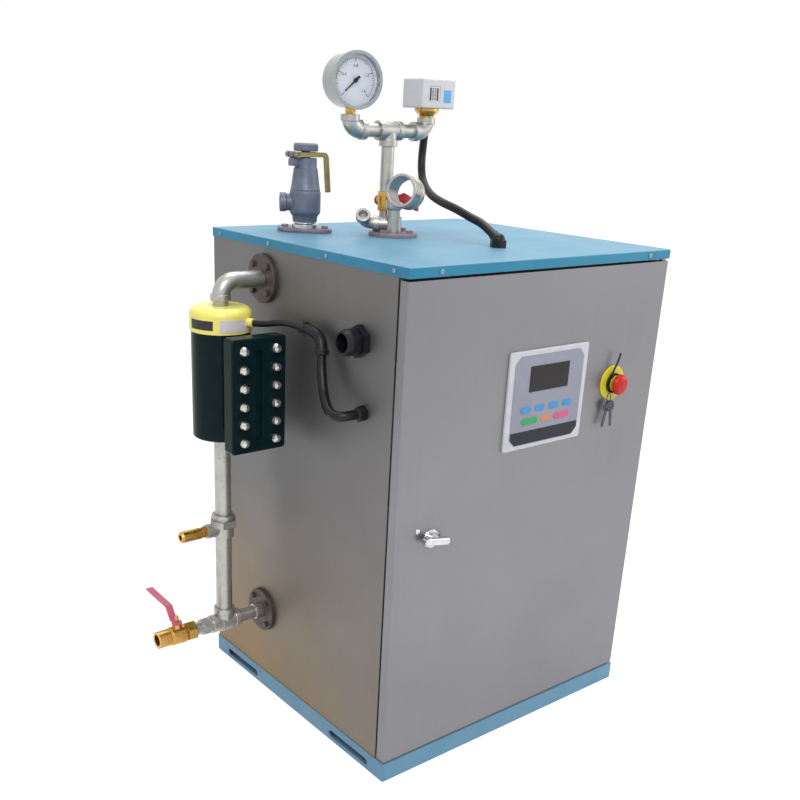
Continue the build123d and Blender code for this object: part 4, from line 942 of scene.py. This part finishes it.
def make_safety_flange():
    """An oval pad with two bolts: a round one drawn apart, and turned as in the photo."""
    pad_r, pad_t, drawn_out, bolt_out = 30, 8, 27, 42
    pad_turn, bolt_turn = -46, 12
    pad = cylinder("safety_oval", pad_r, pad_t, 48, pad_t / 2)
    for side in (-1, 1):
        opened(pad, "VERT")
        pick(pad, lambda vert: vert.co.x * side > 0.5 * mm, "verts")
        bpy.ops.transform.translate(value=(side * drawn_out * mm, 0, 0))
        closed()
    pieces = [eased(pad, 1.2, 2)]
    bolt = hexagon("bolt", 13, 5)
    for side in (-1, 1):
        seat = Vector((side * bolt_out, 0, pad_t))
        pieces.append(set_down(copied(bolt, "bolt_seat"), seat, UP, bolt_turn * side))
    thrown_away(bolt)
    pad = set_down(joined("safety_oval", pieces), safety_axis + UP * lid_top, UP, pad_turn)
    done(pad, "flange_steel", "boiler", "flange_steel", stands_for=["safety_flange"])


def make_safety_body():
    """The cast valve from its foot to its bonnet, with its side outlet and the lever's lug, eye and pin."""
    base = safety_axis + UP * safety_seat
    body = lathe("safety_casting", [
        (0, 0), (25, 0), (26, 11), (29, 15), (31.4, 18), (32, 23), (32, 57), (31.4, 60), (30.2, 61.2),
        (30.2, 62.6), (30.8, 63.6), (29.6, 66), (24.6, 103), (24.4, 105), (23, 106), (22.6, 107),
        (22.6, 124.4), (22, 125), (9.1, 125), (9.1, 100), (0, 100),
    ], 56)
    set_down(body, base)

    outlet_angle, outlet_rise = radians(150), 38
    nozzle = lathe("nozzle", [
        (0, 0), (17, 0), (17, 38), (19, 40), (19, 51), (18.2, 52), (12, 52), (12, 30), (0, 30),
    ], 40)
    set_down(nozzle, base + UP * outlet_rise, Vector((cos(outlet_angle), sin(outlet_angle), 0)))

    def is_outer_top(edge):
        return all(v.co.z > (lever_pivot.z - 6.5) * mm and v.co.x < (lever_pivot.x - 1) * mm
                   for v in edge.verts)
    lug = block("lug", (27, 17, 16), lever_pivot + Vector((7.5, 0, -14)))
    opened(lug, "EDGE")
    pick(lug, is_outer_top, "edges")
    bpy.ops.mesh.bevel(offset=5 * mm, segments=4, affect="EDGES")
    closed()

    eye_w, pin_len = 17, 40
    eye = lathe("eye", [(0, 0), (6, 0), (6, eye_w), (0, eye_w)], 24)
    set_down(eased(eye, 0.5, 1), lever_pivot + FRONT * eye_w / 2, BACK)
    pin = lathe("pin", [
        (0, 0), (2.4, 0), (3, 0.6), (3, pin_len - 0.6), (2.4, pin_len), (0, pin_len),
    ], 20)
    set_down(pin, lever_pivot + FRONT * pin_len / 2, BACK)
    whole = joined("safety_casting", [body, nozzle, eased(lug, 0.6), eye, pin])
    done(whole, "valve_grey", "boiler", "valve_grey", stands_for=["safety_valve_body"])


# Steam outlet: the wide open run turned to the left front, on its stem

def make_steam_outlet():
    heading, rise = radians(205), radians(10)
    along = Vector((cos(heading) * cos(rise), sin(heading) * cos(rise), sin(rise)))
    centre, stem_foot = Vector((-60, 42, 1088)), Vector((-74, 60, 1038))
    run_len, bore_r = 48, 29
    ring = lathe("steam_ring", [
        (27, 1), (28, 0), (32, 0), (33, 1.4), (33, 10), (32.4, 11.6), (30.4, 13), (30.4, 35),
        (32.4, 36.4), (33, 38), (33, 46.6), (32, run_len), (28, run_len), (27, 47), (27, 1),
    ], 64)
    set_down(ring, centre - along * run_len / 2, along)
    stem = lathe("stem", [
        (0, 0), (13.5, 0), (13.5, 14), (16.4, 15.5), (16.9, 17), (16.9, 31), (16.2, 32.5), (13.5, 34),
        (13.5, 38), (0, 38),
    ], 40)
    set_down(stem, stem_foot)
    cut_by(stem, set_down(cylinder("bore", bore_r, 80, 64), centre, along))
    run = joined("steam_run", [ring, stem])
    done(run, "galvanised", "boiler", "galvanised", stands_for=["steam_outlet_tee"])


# Red handle of the gauge valve: hub, rising strip and dipped grip

def make_red_handle():
    hub_place = Vector((-61, 126.1, 1066))
    hub = lathe("hub", [(0, 0), (9, 0), (10, 0.6), (10, 3.6), (9.4, 4), (0, 4)], 32)
    set_down(hub, hub_place, BACK)
    strip = block("red_grip", (44, 4, 14), hub_place + Vector((20, 2, 1)))
    opened(strip)
    pick(strip, lambda face: face.normal.x > 0.9)
    # Each step is how far the end is drawn out, and how much higher it gets
    steps = (
        ((14, 0, 2), 1.0), ((7, 0, 0), 1.25), ((6, 0, -1), 1.35), ((26, 0, -11), 1.0),
        ((12, 0, -6), 0.92), ((5, 0, -3), 0.7),
    )
    for shift, grow in steps:
        extruded(shift)
        if grow != 1.0:
            mesh = bmesh.from_edit_mesh(strip.data)
            end = [v.co for v in mesh.verts if v.select]
            middle = sum(end, Vector()) / len(end)
            bpy.ops.transform.resize(value=(1, (1 + grow) / 2, grow), center_override=middle)
    closed()
    strip = applied(eased(strip, 1.2, 2, 30), "SUBSURF", levels=1, render_levels=1)
    grip = joined("red_grip", [strip, hub])
    done(grip, "handle_red", "gauge_valve", "handle_red", stands_for=["gauge_valve_lever"])


# Level cable: the thick conduit from its elbow joint down to the gland

def thicker(name, radius):
    """The level cord's own line again, as a thicker tube."""
    only(level_cord)
    bpy.ops.object.duplicate(linked=False)
    thing = started(name)
    for spot in thing.data.splines[0].points:
        spot.radius = radius * mm
    bpy.ops.object.convert(target="MESH")
    thing = started(name)
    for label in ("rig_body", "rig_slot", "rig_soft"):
        if label in thing:
            del thing[label]
    thing.parent = None
    return thing


def halved(thing, spot, normal):
    """Cuts away what lies on the normal's side of a plane, and closes the cut."""
    opened(thing)
    bpy.ops.mesh.select_all(action="SELECT")
    bpy.ops.mesh.bisect(plane_co=Vector(spot) * mm, plane_no=normal, use_fill=True, clear_outer=True)
    closed()
    return thing


def make_conduit():
    """The conduit below its joint, and the elbow joint between its two collars."""
    conduit_r, joint_r, collar_r, collar_len = 9.0, 11.5, 13.4, 10
    conduit_top, joint_back, joint_foot = 832, -64, 824
    conduit = halved(thicker("level_conduit", conduit_r), (0, 0, conduit_top), UP)
    done(conduit, "cable_black", "boiler", "cable_black")
    joint = halved(thicker("level_joint", joint_r), (0, joint_back, 0), BACK)
    joint = halved(joint, (0, 0, joint_foot), DOWN)
    collar = lathe("collar", [
        (0, 0), (collar_r - 1, 0), (collar_r, 1), (collar_r, collar_len - 1), (collar_r - 1, collar_len),
        (0, collar_len),
    ], 12)
    first = set_down(copied(collar, "first"), Vector((-376.2, -60, 857.6)), FRONT)
    second = set_down(collar, Vector((-376, -117.4, 829)), Vector((-0.12, -0.2, -1)).normalized())
    joint = joined("level_joint", [joint, first, second])
    return conduit, done(joint, "black_plastic", "boiler", "black_plastic")


make_lid_screws()
make_controller_band()
make_dial_marks()
make_numbers()
make_switch_face()
make_cap_label("cap_label_white", 834, 858, 238, 302, "label_white")
make_cap_label("cap_label_dark", 838, 856, 176, 226, "mark_black")
make_stop_collar_and_shade()
make_stop_tie()
make_stop_keys()
make_latch_rivet()
make_safety_flange()
make_safety_body()
make_steam_outlet()
make_red_handle()
conduit, joint = make_conduit()

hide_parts("switch_cable")
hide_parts("level_cable")


# Room, light and floor

def seen_rays(work):
    """1 for camera, glossy and transmission rays, else 0."""
    path = work.node("ShaderNodeLightPath")
    mirrored = work.math("MAXIMUM", path.outputs["Is Glossy Ray"], path.outputs["Is Transmission Ray"])
    return work.math("MAXIMUM", path.outputs["Is Camera Ray"], mirrored)


def make_sky():
    """A white background where it is seen or mirrored, and a softer light from it elsewhere."""
    soft, seen = 0.66, 1.0
    world = bpy.data.worlds.new("world")
    bpy.context.scene.world = world
    world.use_nodes = True
    work = Wiring(world.node_tree)
    back = world.node_tree.nodes["Background"]
    back.inputs["Color"].default_value = (1, 1, 1, 1)
    work.link(work.span(seen_rays(work), 0.0, 1.0, soft, seen), back.inputs["Strength"])


def make_floor():
    """A pale matt floor, lifted to white where it is seen."""
    grey, lifted = 0.55, 0.68
    bpy.ops.mesh.primitive_plane_add(size=28.0, location=(0, 0, 0))
    floor = started("floor")
    material = bpy.data.materials.new("floor")
    material.use_nodes = True
    work = Wiring(material.node_tree)
    shader = material.node_tree.nodes["Principled BSDF"]
    shader.inputs["Base Color"].default_value = (grey, grey, grey, 1)
    shader.inputs["Roughness"].default_value = 0.9
    shader.inputs["Specular IOR Level"].default_value = 0.1
    shader.inputs["Emission Color"].default_value = (1, 1, 1, 1)
    work.link(work.times(seen_rays(work), lifted), shader.inputs["Emission Strength"])
    floor.data.materials.append(material)


def lamp(name, place, aim, size, power):
    """A square lamp, sizes in metres and power in watts."""
    data = bpy.data.lights.new(name, "AREA")
    data.shape = "SQUARE"
    data.size = size
    data.energy = power
    thing = bpy.data.objects.new(name, data)
    bpy.context.scene.collection.objects.link(thing)
    way = Vector(aim) - Vector(place)
    turn = way.to_track_quat("-Z", "Y").to_matrix().to_4x4()
    thing.matrix_world = Matrix.Translation(place) @ turn


make_sky()
make_floor()
lamp("key_light", place=(-1.9, -2.4, 3.2), aim=(0, 0, 0.6), size=1.6, power=60)
lamp("top_light", place=(0.6, 0.6, 3.4), aim=(0, 0, 0.9), size=2.4, power=50)
lamp("side_light", place=(2.6, -1.6, 1.8), aim=(0, 0, 0.6), size=1.6, power=22)
bpy.context.scene.view_settings.view_transform = "Standard"

bpy.context.view_layer.update()
